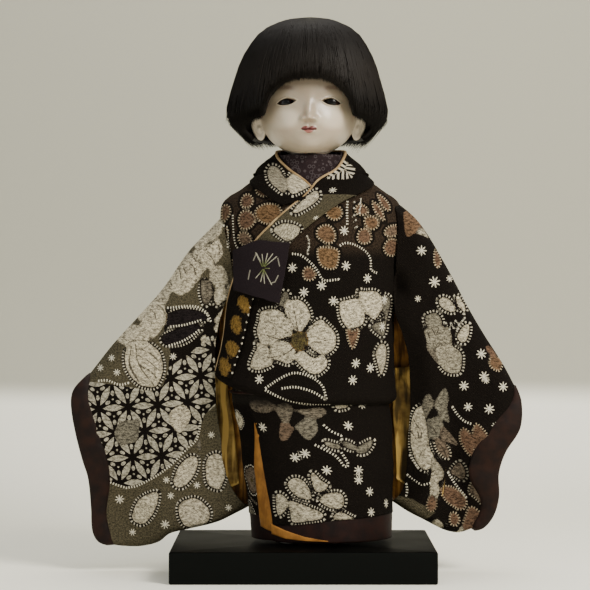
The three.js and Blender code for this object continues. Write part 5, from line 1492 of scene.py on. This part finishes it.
cuff_band("cuff_band_right", RIGHT, "arm_right")
cuff_band("cuff_band_left", LEFT, "arm_left")

# %% [markdown]
# ## Inner sleeves
#
# The under-robe's sleeves show as an olive-gold fold in the opening at the body side. A full second sleeve could
# hang inside the first. Only the part that can be seen is made, on the same faces drawn closer
# together, and it ends below the elbow so that the forearm bends clear of it.

# %% Inner sleeves
def inner_sleeve(name, plan, body, node):
    """A part of the sleeve's own faces, narrowed about their middle."""
    s, v = np.linspace(0.06, 0.3, 40), np.linspace(0.54, 0.92, 46)
    front, back = sleeve_faces(plan, s, v)
    middle = (front[..., 1] + back[..., 1]) / 2
    for face in (front, back):
        face[..., 1] = middle + (face[..., 1] - middle) * 0.42
    ring = np.concatenate([front[:, ::-1], back[:, 1:]], axis=1)
    cloth(name, ring, 0.7, body, (OLIVE_GOLD,) * 3, (node,))


inner_sleeve("inner_sleeve_right_cloth", RIGHT, "arm_right", "inner_sleeve_right")
inner_sleeve("inner_sleeve_left_cloth", LEFT, "arm_left", "inner_sleeve_left")

# %% [markdown]
# ## The head
#
# The real head is carved or cast, coated with polished shell white and painted. It could be sculpted by hand.
# Here the face is a close grid over the head's egg sections, raised and sunk by soft bumps for the nose,
# cheeks, lips, chin and lids, because a formula can be corrected against the photograph. The material
# paints the white, the lips and the faint brows by place.

# %% Face and skull
HEAD = [
    [269.9, 0, 10.5, 26, 15], [272, 0, 15.6, 30, 16], [276, 0, 22, 33, 20], [282, 0, 28.3, 35, 26],
    [291, 0, 32.8, 36, 33], [303, 0, 34, 36.4, 37.5], [317, 0, 34.8, 36.2, 39.5], [331, 0, 34.2, 34.5, 39],
    [343, 0, 30.5, 29.5, 34.5], [352, 0, 22, 21, 25], [357, 0, 11, 10, 12],
]
EYE_SIDE, EYE_LEVEL, MOUTH = 15.5, 304.1, 284.9
ASIDE = -1.6  # the face's middle lies a little to the doll's right of the neck


def bump(x, h, side, level, wide, tall):
    """A soft bump of height 1 on both sides of the face's middle."""
    return np.exp(-(((np.abs(x) - side) / wide) ** 2) - ((h - level) / tall) ** 2)


def slit(x, h):
    """Distance outside the eye's slit in mm, negative inside: a low arch over a nearly straight lower lid."""
    dx = (np.abs(x) - EYE_SIDE) / 6.5
    dz = h - EYE_LEVEL + 0.75 * dx
    upper = 2.5 * np.maximum(1 - np.abs(dx) ** 1.8, -1)
    lower = -2.1 * np.maximum(1 - np.abs(dx) ** 2.6, -1)
    return np.maximum(dz - upper, lower - dz)


def relief(x, h):
    """Millimetres by which the face stands out of the plain egg."""
    bridge = 3.5 * np.exp(-((x / 3.3) ** 2)) * smooth(h, 307, 295.5) * smooth(h, 289.4, 292.2)
    bridge = bridge + 0.9 * np.exp(-((x / 4.2) ** 2) - ((h - 304) / 6) ** 2)
    tip = 2.2 * bump(x, h, 0, 293.0, 3.9, 2.7) + 2.5 * bump(x, h, 4.6, 291.9, 2.1, 2.1)
    nostril = -0.7 * bump(x, h, 2.9, 290.0, 1.5, 0.9)
    socket = -1.5 * bump(x, h, 14.6, 304.6, 8.5, 5.4)
    cheeks = 2.3 * bump(x, h, 16, 288.5, 11, 9.5) + 0.5 * bump(x, h, 15.4, 309, 9, 3)
    lips = 1.25 * bump(x, h, 2.0, 286.1, 2.5, 1.15) + 1.35 * bump(x, h, 0, 283.5, 4.0, 1.35)
    lips = lips + 0.6 * bump(x, h, 0, 285, 6.5, 3.8)
    line = -1.15 * np.exp(-(((h - MOUTH - 0.2 * np.cos(x * 1.1)) / 0.42) ** 2)) * smooth(np.abs(x), 5.6, 4.2)
    chin = 1.1 * bump(x, h, 0, 275, 8, 4) - 0.5 * bump(x, h, 0, 280.3, 6, 1.5)
    groove = -0.35 * bump(x, h, 0, 287.9, 0.9, 1.2)
    gap = slit(x, h)
    lid = 0.6 * np.exp(-(((gap - 0.7) / 0.6) ** 2)) - 5.5 * smooth(gap, 0.1, -0.3)
    return bridge + tip + nostril + socket + cheeks + lips + line + chin + groove + lid


def face_paint():
    """Polished shell white: warm and a little uneven, with painted shade under the hair and the nose, a painted
    highlight on the cheeks, painted lips, faint brows, and slits painted dark as painted shade."""
    p = Paint("face_white")
    x, y, z = p.place()
    x, h = size_of(x - SIDE - ASIDE), z - BOARD_TOP
    here = p.vector(x, y, z)
    cloud = p.noise(here, 0.05, 3)
    speck = p.noise(here, 2.2, 3, 0.7).step(0.66, 0.8)
    color = p.mix(cloud.step(0.3, 0.7), (0.34, 0.275, 0.2), (0.41, 0.34, 0.255))
    color = p.mix(speck * 0.12, color, (0.4, 0.34, 0.26))
    cheek = most(1.0 - root(power((x - 17.0) / 11.0, 2.0) + power((h - 288.0) / 8.0, 2.0)), 0.0)
    color = p.mix(cheek * 0.16, color, (0.6, 0.36, 0.28))
    # painted highlight: a lighter patch on each cheek where the light falls
    lit = most(1.0 - root(power((x - 16.0) / 14.0, 2.0) + power((h - 292.5) / 9.0, 2.0)), 0.0)
    color = p.mix(lit.step(0.0, 0.6) * 0.75, color, (0.6, 0.515, 0.4))
    # painted shade: the top of the face is darkened as the shadow of the fringe
    color = p.mix(h.step(297.0, 316.0) * 0.6, color, (0.15, 0.115, 0.08))
    brow_level = 313.9 - power(size_of(x - 17.0), 1.8) * 0.03
    brow = size_of(h - brow_level).step(2.4, 0.3) * x.step(8.0, 14.0) * x.step(28.5, 20.0)
    fibres = p.noise(p.vector(x * 1.2, z * 0.4), 2.0, 3).step(0.1, 0.6)
    color = p.mix(brow * fibres * 0.8, color, (0.1, 0.06, 0.04))
    wobble = (p.noise(here, 1.6, 2) - 0.5) * 0.5
    upper = h + wobble - MOUTH - (2.2 - power(size_of(x - 2.3) * 0.34, 2.0) * 1.4)
    lower = MOUTH - h - wobble - (2.6 - power(x * 0.33, 2.0) * 1.6)
    above, below = h.step(284.7, 285.0), h.step(285.0, 284.7)
    edges = x.step(5.9, 5.0)
    dye = p.noise(here, 0.9, 3) * 0.5
    color = p.mix(lower.step(0.35, -0.35) * below * edges * 0.85, color,
                  p.mix(dye, (0.2, 0.03, 0.03), (0.36, 0.1, 0.085)))
    color = p.mix(upper.step(0.3, -0.3) * above * edges * 0.95, color,
                  p.mix(dye, (0.09, 0.007, 0.01), (0.19, 0.02, 0.023)))
    mouth = size_of(h - 284.95).step(0.5, 0.12) * x.step(5.4, 4.4)
    color = p.mix(mouth * 0.85, color, (0.03, 0.006, 0.006))
    # painted shadow: a soft brown-grey patch under the nose
    painted_shadow_under_nose = (1.0 - root(power(x / 5.6, 2.0) + power((h - 290.9) / 3.0, 2.0))).step(0.0, 0.8)
    color = p.mix(painted_shadow_under_nose * 0.45, color, (0.2, 0.15, 0.105))
    # painted shade: the skin inside each eye slit is painted near black, as the shade of its hollow
    color = p.mix(p.mark("slit")[0].step(-0.05, -0.4), color, (0.01, 0.006, 0.004))
    return p.finish(color, cloud * 0.14 + 0.26, p.noise(here, 0.5, 3), 0.05, Coat_Weight=0.12, Coat_Roughness=0.35,
                    Subsurface_Weight=0.06)


face_turns = np.r_[np.linspace(200, 340, 340), np.linspace(340, 560, 90)[1:-1]][None, :]
head_levels = [np.linspace(269.9, 281, 30)[:-1], np.linspace(281, 311, 150)[:-1], np.linspace(311, 357, 60)]
head_levels = np.concatenate(head_levels)[:, None]
skull = egg(table_at(HEAD, head_levels), face_turns, head_levels + 0 * face_turns)
before = smooth(-skull[..., 1], 0, 22)
skull[..., 1] -= relief(skull[..., 0], skull[..., 2]) * before
slit_gap = np.where(before > 0.5, slit(skull[..., 0], skull[..., 2]), 9.0)
skull[..., 0] += ASIDE
crown_h = np.linspace(357, 358.6, 8)[1:, None]
share = (crown_h - 357) / 1.6
dome = np.array([0, 11, 10, 12]) * np.sqrt(1 - share**2 * 0.995)[..., None]
crown = egg(dome, face_turns, crown_h + 0 * face_turns)
crown[..., 0] += ASIDE
NECK_RADIUS = 15.2
neck = np.linspace(235.6, 269.0, 40)[:, None]
column = egg(np.array([0, 1, 1, 1]) * NECK_RADIUS, face_turns, neck + 0 * face_turns)
head = tube_object("head_skull", place(np.concatenate([skull, crown])), "head", face_paint(), ("head",))
slit_marks = np.full((len(head.data.vertices), 3), 9.0)
slit_marks[: slit_gap.size, 0] = slit_gap.reshape(-1)
head.data.attributes.new("slit", "FLOAT_VECTOR", "POINT").data.foreach_set("vector", slit_marks.reshape(-1))
tube_object("neck_column", place(column), "head", SHELL)
print("head:", len(head.data.polygons), "faces")

# %% [markdown]
# ## The ears
#
# Two small flat ears look out under the hair. They could be raised from the head's grid, but its lines are
# too coarse there, so each is a flattened ball with a sunken middle, pressed into the side of the head.

# %% The ears
EAR_WIDE, EAR_TALL = 4.9, 8.2
EAR_WHITE = plain_weave("ear_white", (0.62, 0.54, 0.43), (0.7, 0.62, 0.5), 0.4, 0.01)


def ear(side):
    """One ear: a flattened shell with a rolled rim and a sunken middle."""
    a, t = np.linspace(0, 2 * math.pi, 64, endpoint=False)[None, :], np.linspace(0, math.pi, 40)[:, None]
    x, y, z = np.sin(t) * np.cos(a), np.cos(t) + 0 * a, np.sin(t) * np.sin(a)
    rim = np.sqrt(x**2 + z**2)
    hollow = 0.8 * np.exp(-(((rim - 0.42) / 0.3) ** 2)) * (y < 0)
    across, tall = x * EAR_WIDE * (1 + 0.22 * z), z * EAR_TALL
    deep = y * (2.4 - 2.2 * hollow)
    lean = 0.22
    turned_x = across * math.cos(lean) + tall * math.sin(lean)
    turned_z = tall * math.cos(lean) - across * math.sin(lean)
    grid = np.stack([ASIDE + side * (34.6 + turned_x), 1.2 + deep + across * 0.35, 288.2 + turned_z], -1)
    name = "ear_left" if side > 0 else "ear_right"
    return tube_object(name, place(grid if side < 0 else grid[:, ::-1]), "head", EAR_WHITE)


for side in (-1, 1):
    print("ear:", len(ear(side).data.polygons), "faces")

# %% [markdown]
# ## Glass eyes
#
# Dark glass eyes are set into the head before it is coated, and the coat is cut open over them. Painted
# ovals would lie flat on the skin, so each eye is a whole ball that stands just inside its slit.

# %% Glass eyes
def glass_eye():
    """Very dark brown glass with a black pupil that fades at its border."""
    p = Paint("dark_glass")
    x, y, z = p.place()
    x, h = size_of(x - SIDE - ASIDE), z - BOARD_TOP
    r = root(power(x - EYE_SIDE, 2.0) + power(h - EYE_LEVEL, 2.0))
    streak = p.noise(p.vector(x * 2.0, z * 2.0), 1.1, 3)
    brown = p.mix(streak, (0.006, 0.003, 0.002), (0.016, 0.008, 0.005))
    color = p.mix(r.step(1.6, 4.6), (0.002, 0.0015, 0.0015), brown)
    return p.finish(color, streak * 0.06 + 0.22, streak, 0.02, Specular_IOR_Level=0.3)


GLASS, EYE_RADIUS, EYE_DEPTH = glass_eye(), 6.6, 1.9
form = table_at(HEAD, np.array(EYE_LEVEL))
deep = form[2] * math.sqrt(1 - (EYE_SIDE / form[1]) ** 2)
a = np.radians(np.linspace(0, 360, 48, endpoint=False))[None, :]
t = np.radians(np.linspace(2, 178, 36))[:, None]
ball = np.stack([np.sin(t) * np.cos(a), np.sin(t) * np.sin(a), -np.cos(t) + 0 * a], -1) * EYE_RADIUS
for name, side in (("right", -1), ("left", 1)):
    middle = np.array([ASIDE + side * EYE_SIDE, -deep + EYE_DEPTH + EYE_RADIUS, EYE_LEVEL])
    eye = tube_object(f"glass_eye_{name}", place(ball + middle), "head", GLASS, (f"eye_{name}",))
print("each eye:", len(eye.data.polygons), "faces")

# %% [markdown]
# ## The hair
#
# The wig is silk thread, combed down from the crown and cut to a bob. Blender's hair system could grow it,
# but strands made as thin tubes keep their place in every export. Each runs down the hair's sections
# at its own angle and depth over a dark shell, and ends in a point at a ragged line: the fringe's arc in
# front, the level of the ears at the sides, the nape behind.

# %% The hair's form and its cut
HAIR = [
    [278.5, -2, 41, 38, 43], [283, -2, 45.5, 41, 47], [292, -2.6, 54.4, 44, 51], [303, -2.6, 54.6, 44.5, 52],
    [317, -2.6, 51.6, 44, 51.5], [331, -2.4, 47.6, 42.5, 49.5], [344, -2, 41.5, 38, 44], [356, -1.5, 32, 29, 34],
    [363, -1, 18, 16, 19], [365.8, 0, 2.5, 2.5, 2.5],
]
WIDEST, CROWN = 303.0, 365.6  # heights of the hair's widest section and of the shell's top
FRINGE = np.array([[0, 318.5], [6, 318.4], [11, 317.9], [17.5, 315.9], [23, 312.6], [27, 308.9], [29.5, 305.4],
                   [31, 300.5], [32, 295.5], [33.5, 293.2], [40, 291.5], [46, 290], [54, 288]])


def fringe(x):
    """Height at which the hair ends above the face: an arc, then steeply down beside the cheeks to the ears."""
    return np.interp(np.abs(x + 1.5), FRINGE[:, 0], FRINGE[:, 1])


def hair_end(angle, x, share):
    """Lower end of the hair round the head; share 0 is the outermost layer."""
    front = smooth(-np.sin(np.radians(angle)), 0.02, 0.14)
    sides = smooth(np.abs(np.cos(np.radians(angle))), 0.45, 0.85)
    behind = 278.6 + 10.4 * sides * (share < 0.3)
    return behind * (1 - front) + np.maximum(fringe(x), behind) * front


def hair_black():
    """Black silk strands: fine lines along their length painted lighter as painted sheen, and a broad painted
    highlight round the head.
    """
    p = Paint("hair_black")
    x, y, z = p.place()
    here = p.vector(x, y, z)
    lines = p.noise(p.vector(x * 2.4, y * 2.4, z * 0.06), 1.6, 3)
    # painted sheen: the colour is lighter along the fine lines and in a broad band round the hair about 345 mm up
    band = (size_of(z - 345.0) + p.noise(here, 0.05, 2) * 14.0).step(30.0, 8.0)
    color = p.mix(lines * 0.5 + band * 0.5, (0.003, 0.0023, 0.0018), (0.0125, 0.0098, 0.0075))
    return p.finish(color, lines * 0.1 + 0.5, lines, 0.03, Specular_IOR_Level=0.13)


HAIR_BLACK = hair_black()
angle = np.linspace(0, 360, 256, endpoint=False)[None, :]
fall = np.linspace(0, 1, 90)[:, None]
widest = egg(table_at(HAIR, np.array(WIDEST)), angle, WIDEST + 0 * angle)
ends = hair_end(angle, widest[..., 0], 0.4) + 1.4
level = CROWN - (CROWN - ends) * fall**1.6
shell_out = egg(table_at(HAIR, level), angle, level, -1.6 - 2.0 * smooth(fall, 0.9, 1.0))
shell = cloth("hair_shell", place(shell_out[::-1]), 3.0, "head", (HAIR_BLACK,) * 3, ("hair",), closed=True)
print("hair shell:", len(shell.data.polygons), "faces")


# %% The strands
def strands(name, angles, source, steps=11):
    """Three-sided tapering tubes from the crown to the ragged end, at a random depth within the hair."""
    count = len(angles)
    share = source.uniform(0, 1, count) ** 1.4
    base = egg(table_at(HAIR, np.full(count, WIDEST)), angles, WIDEST)
    sides = smooth(np.abs(np.cos(np.radians(angles))), 0.6, 0.9)
    end = hair_end(angles, base[:, 0], share) + source.normal(0, 0.45, count) * (1 + 3.2 * sides) - share * 0.5
    flick = np.maximum(source.normal(-0.6, 1.5, count), 0)[:, None] * sides[:, None]
    t = np.linspace(0.0, 1, steps)[None, :]
    starts = 365.9 - source.uniform(0, 2.2, count)[:, None]
    level = starts - (starts - end[:, None]) * t**1.55
    drift = source.normal(0, 2.2, count)[:, None] * np.sin(t * math.pi) + source.normal(0, 0.8, count)[:, None] * t
    turn = angles[:, None] + drift
    depth = -share[:, None] * 2.6 + 0.2 + 0.25 * np.sin(t * 7 + source.uniform(0, 6, count)[:, None])
    path = egg(table_at(HAIR, level), turn, level, depth - 1.2 * smooth(t, 0.85, 1) * share[:, None] + flick * t**6)
    run = np.gradient(path, axis=1)
    run = run / np.maximum(np.linalg.norm(run, axis=-1, keepdims=True), 1e-6)
    outward = np.stack([np.cos(np.radians(turn)), np.sin(np.radians(turn)), 0 * turn + 0.15], -1)
    side = np.cross(run, outward)
    side = side / np.maximum(np.linalg.norm(side, axis=-1, keepdims=True), 1e-6)
    outward = np.cross(side, run)
    thick = 0.36 + 0.22 * source.uniform(0, 1, count)[:, None]
    wide = thick * smooth(t, 1.02, 0.8) * (0.35 + 0.65 * smooth(t, 0, 0.12)) + 0.02
    thirds = (math.pi / 2, math.pi * 7 / 6, -math.pi / 6)
    corners = [path + (side * math.cos(q) + outward * math.sin(q)) * wide[..., None] for q in thirds]
    grid = np.stack(corners, axis=2)
    ring = np.arange(3)
    i = np.arange(count)[:, None, None] * steps * 3
    k = np.arange(steps - 1)[None, :, None] * 3
    a, b = i + k + ring, i + k + (ring + 1) % 3
    quads = np.stack([a, b, b + 3, a + 3], -1).reshape(-1, 4)
    low, high = i[:, 0, 0], i[:, 0, 0] + (steps - 1) * 3
    caps = np.concatenate([np.stack([low + 2, low + 1, low], -1), np.stack([high, high + 1, high + 2], -1)])
    obj = make_object(name, place(grid.reshape(-1, 3)), [quads, caps], "head")
    obj.data.materials.append(HAIR_BLACK)
    return obj


source = np.random.default_rng(77)
front_hair = strands("hair_strands_front", source.uniform(180, 360, 2900), source)
back_hair = strands("hair_strands_back", source.uniform(0, 180, 2700), source)
print("hair:", len(front_hair.data.polygons) + len(back_hair.data.polygons), "faces")

# %% [markdown]
# ## The body under the robe
#
# Trunk, limbs and sock feet are mostly hidden, but anyone who lifts the robe will see them. Cloth parts are
# stuffed and so have soft ends; hard parts are coated white like the face. The stuffed parts get
# rounded forms over their plain solids, and the hard parts keep theirs.

# %% Rounded forms for the stuffed parts
def stacked(name, table, middle, node, material):
    """A rounded upright form from a table of level sections: height, middle, half width, front, back."""
    angle = np.linspace(0, 360, 72, endpoint=False)[None, :]
    t = np.linspace(0, 1, 48)[:, None]
    low, high = table[0][0], table[-1][0]
    level = low + (high - low) * t
    ends = np.sqrt(np.clip(1 - np.abs(2 * t - 1) ** 14, 0.0004, 1))[..., None]
    form = table_at(table, level) * np.array([0, 1, 1, 1]) * ends
    grid = egg(form, angle, level + 0 * angle)
    grid = grid + np.array([middle, 0, 0])
    grid[..., :2] += waves(angle / 12, level, 14, 71)[..., None] * 0.15
    return tube_object(name, place(grid), "doll", material, (node,))


MIDRIFF = [[139, 0, 27, 18, 16], [161, 0, 27.8, 18.8, 16.8], [182.7, 0, 27, 18, 16]]
THIGH = [[56, 0, 9.7, 9.7, 9.7], [66, 0, 12, 12, 12], [76, 0, 13.3, 13.3, 13.3], [86, 0, 13, 13, 13],
         [95.7, 0, 11.2, 11.2, 11.2]]
FOOT = [[0.3, 0, 8.4, 30.4, 12.6], [4, 0, 8.8, 27, 12], [8, 0, 8.4, 19, 10.4], [12, 0, 7.9, 11, 8.6],
        [14.7, 0, 7.6, 7.8, 7.6]]
LEG_SIDE = 16
midriff = stacked("midriff_stuffed", MIDRIFF, 0, "midriff", STUFFED)
print("midriff:", len(midriff.data.polygons), "faces")

# %% Stuffed limbs, and the finish of the hard parts
ARM = np.array([[-9.5, 0.6], [-8.6, 4.2], [-5.5, 7.6], [0, 9.6], [10, 10.4], [24, 10.8], [38, 10.2], [46, 9],
                [48.6, 6], [49, 0.6]])  # distance down the arm from the shoulder, radius
SHOULDER_SIDE, SHOULDER_LEVEL, ARM_SLOPE = 45, 227.3, math.radians(50)
down, outward = math.sin(ARM_SLOPE), math.cos(ARM_SLOPE)
a = np.linspace(0, 2 * math.pi, 48, endpoint=False)[None, :]
spots = curve(ARM, np.linspace(0, 1, 60))
reach, radius = spots[:, :1], spots[:, 1:2]
for name, side in (("right", -1), ("left", 1)):
    thigh = stacked(f"thigh_{name}_stuffed", THIGH, side * LEG_SIDE, f"thigh_{name}", STUFFED)
    foot = stacked(f"sock_{name}", FOOT, side * LEG_SIDE, f"sock_foot_{name}", SOCKS)
    x = side * SHOULDER_SIDE + side * (reach * outward + radius * np.cos(a) * down)
    z = SHOULDER_LEVEL - reach * down + radius * np.cos(a) * outward
    grid = place(np.stack([x, radius * np.sin(a), z], -1))
    upper = tube_object(f"upper_arm_{name}_stuffed", grid[:, ::-1] if side < 0 else grid, f"arm_{name}", STUFFED,
                        (f"upper_arm_{name}",))
print("faces of a thigh, a foot and an upper arm:", [len(o.data.polygons) for o in (thigh, foot, upper)])
for node in ("chest", "hips", "shin_right", "shin_left", "forearm_right", "forearm_left"):
    frame["nodes"][node].data.materials.clear()
    frame["nodes"][node].data.materials.append(SHELL)

# %% [markdown]
# ## The board and its rod
#
# The plinth is a lacquered block. Its edges are rounded a little, because light along a rounded edge is what
# makes lacquer look thick. A bevel modifier would do the same; levels of a rounded rectangle need no modifier.
# The steel rod and its brass cap keep the forms of the solids.

# %% The board and its rod
def rounded_board(width=180.0, depth=130.0, tall=21.7, edge=1.2):
    """A block whose edges are rounded: levels of a rounded rectangle, from below to above."""
    corner = np.radians(np.linspace(0, 90, 9))
    ring = []
    for k, (sx, sy) in enumerate(((1, 1), (-1, 1), (-1, -1), (1, -1))):
        turn = corner + math.radians(90 * k)
        x = sx * (width / 2 - edge) + edge * np.cos(turn)
        ring.append(np.stack([x, sy * (depth / 2 - edge) + edge * np.sin(turn)], -1))
    outline = np.concatenate(ring)
    bend = np.radians(np.linspace(0, 90, 7))
    levels = [(edge * (1 - math.sin(b)), edge * (1 - math.cos(b))) for b in bend]
    levels += [(inset, tall - z) for inset, z in levels[::-1]]
    return np.array([np.c_[outline - np.sign(outline) * inset, np.full(len(outline), z)] for inset, z in levels])


board = tube_object("lacquer_board", rounded_board(), "stand", LACQUER, ("base_board",))
print("board:", len(board.data.polygons), "faces")
for node, material in (("stand_rod", STEEL), ("rod_nut", STEEL), ("rod_cap", BRASS)):
    frame["nodes"][node].data.materials.clear()
    frame["nodes"][node].data.materials.append(material)

# %% [markdown]
# ## Camera, light and floor
#
# The camera stands level at half the object's height, about 1.4 m away. A large soft light from the
# right front and a weaker one from the left give the photograph's shading.

# %% Camera and light
camera = bpy.data.objects.new("camera", bpy.data.cameras.new("camera"))
bpy.context.scene.collection.objects.link(camera)
camera.location = (-0.0056, -1.4, 0.1936)
camera.rotation_euler = (math.radians(90), 0, 0)
FOCAL_PIXELS, PICTURE_PIXELS = 2000, 590  # the photograph's focal length and longer side
camera.data.sensor_width = 36
camera.data.lens = 36 * FOCAL_PIXELS / PICTURE_PIXELS
bpy.context.scene.camera = camera
print(f"camera: lens {camera.data.lens:.1f} mm")


def area_light(name, place_m, aim_m, size, watts, color):
    """A soft rectangular light in metres, turned to look at a place."""
    light = bpy.data.lights.new(name, "AREA")
    light.shape = "RECTANGLE"
    light.size, light.size_y = size
    light.energy, light.color = watts, color
    obj = bpy.data.objects.new(name, light)
    bpy.context.scene.collection.objects.link(obj)
    obj.location = place_m
    away = np.array(aim_m, float) - np.array(place_m, float)
    flat = math.hypot(away[0], away[1])
    obj.rotation_euler = (math.atan2(flat, -away[2]), 0, math.atan2(-away[0], away[1]))


area_light("key", (0.75, -0.85, 0.95), (0, 0, 0.2), (0.55, 0.55), 27, (1, 0.95, 0.87))
area_light("fill", (-1.1, -0.9, 0.5), (0, 0, 0.2), (1.0, 1.0), 4.5, (0.93, 0.97, 1))
area_light("top", (0, 0.15, 1.3), (0, 0, 0.1), (1.0, 0.8), 11, (1, 0.97, 0.92))
world = bpy.data.worlds.new("studio")
bpy.context.scene.world = world
world.use_nodes = True
sky = world.node_tree.nodes["Background"]
sky.inputs["Color"].default_value = (0.8, 0.82, 0.8, 1)
sky.inputs["Strength"].default_value = 0.36


# %% The studio's sweep of paper
def paper(name, low, high):
    """Matt studio paper with a faint tooth, greyer on the wall than on the table. A camera behind the wall sees
    through it, and light doesn't."""
    p = Paint(name)
    x, y, z = p.place()
    here = p.vector(x, y, z)
    tooth = p.noise(here, 0.8, 4)
    from_behind = Num(p, p.tree.nodes.new("ShaderNodeNewGeometry").outputs["Backfacing"])
    by_camera = Num(p, p.tree.nodes.new("ShaderNodeLightPath").outputs["Is Camera Ray"])
    p.connect(1.0 - from_behind * by_camera, p.shader.inputs["Alpha"])
    wall = (z + p.noise(here, 0.004, 2) * 12.0).step(88.0, 116.0)
    return p.finish(p.mix(wall, low, high), tooth * 0.1 + 0.85, tooth, 0.05)


sweep = np.array([[-3000, 0], [200, 0], [420, 0], [560, 30], [640, 120], [670, 260], [680, 600], [680, 2400]], float)
line = curve(sweep, np.linspace(0, 1, 160))
xs = np.linspace(-2500, 2500, 40)
floor_grid = np.stack(np.broadcast_arrays(xs[None, :], line[:, :1], line[:, 1:]), -1)
floor = make_object("floor", floor_grid, grid_faces(160, 40), None)
floor.data.materials.append(paper("studio_paper", (0.96, 0.945, 0.83), (0.425, 0.415, 0.338)))
print("sweep:", len(floor.data.polygons), "faces")

# %% [markdown]
# ## What each piece is
#
# A game or a simulator could sew and hang these cloths anew. The table lists how large each was cut, its area,
# how it is held and what it rests on; the cut and the hold are printed.

# %% How the sheets are cut, held and laid, in metres and square metres
for name, width, length, area, held, rests in (
    ("robe_body_cloth", 0.36, 0.158, 0.0462, "hung", ["chest", "midriff_stuffed"]),
    ("robe_skirt_cloth", 0.4, 0.092, 0.0344, "hung", ["waist_cord_twist"]),
    ("skirt_lining_cloth", 0.385, 0.0935, 0.0334, "hung", ["waist_cord_twist"]),
    ("hem_facing_cloth", 0.395, 0.0203, 0.0075, "hung", ["robe_skirt_cloth"]),
    ("skirt_orange_edge", 0.0205, 0.077, 0.00122, "hung", ["skirt_lining_cloth"]),
    ("foot_orange_edge", 0.041, 0.0109, 0.00018, "hung", ["hem_facing_cloth"]),
    ("under_robe_cloth", 0.25, 0.1, 0.02466, "hung", ["hips"]),
    ("inner_collar_cloth", 0.148, 0.0256, 0.00366, "hung", ["chest"]),
    ("robe_collar_band", 0.4, 0.0235, 0.00869, "hung", ["robe_body_cloth"]),
    ("felt_square", 0.0405, 0.0435, 0.00157, "laid", ["robe_body_cloth"]),
    ("sleeve_right_cloth", 0.21, 0.242, 0.03585, "hung", ["upper_arm_right_stuffed"]),
    ("sleeve_left_cloth", 0.18, 0.235, 0.02809, "hung", ["upper_arm_left_stuffed"]),
    ("inner_sleeve_right_cloth", 0.075, 0.095, 0.0066, "hung", ["upper_arm_right_stuffed"]),
    ("inner_sleeve_left_cloth", 0.05, 0.092, 0.0044, "hung", ["upper_arm_left_stuffed"]),
):
    print(f"{name}: cut {width * 1000:.0f} x {length * 1000:.0f} mm, {held}")
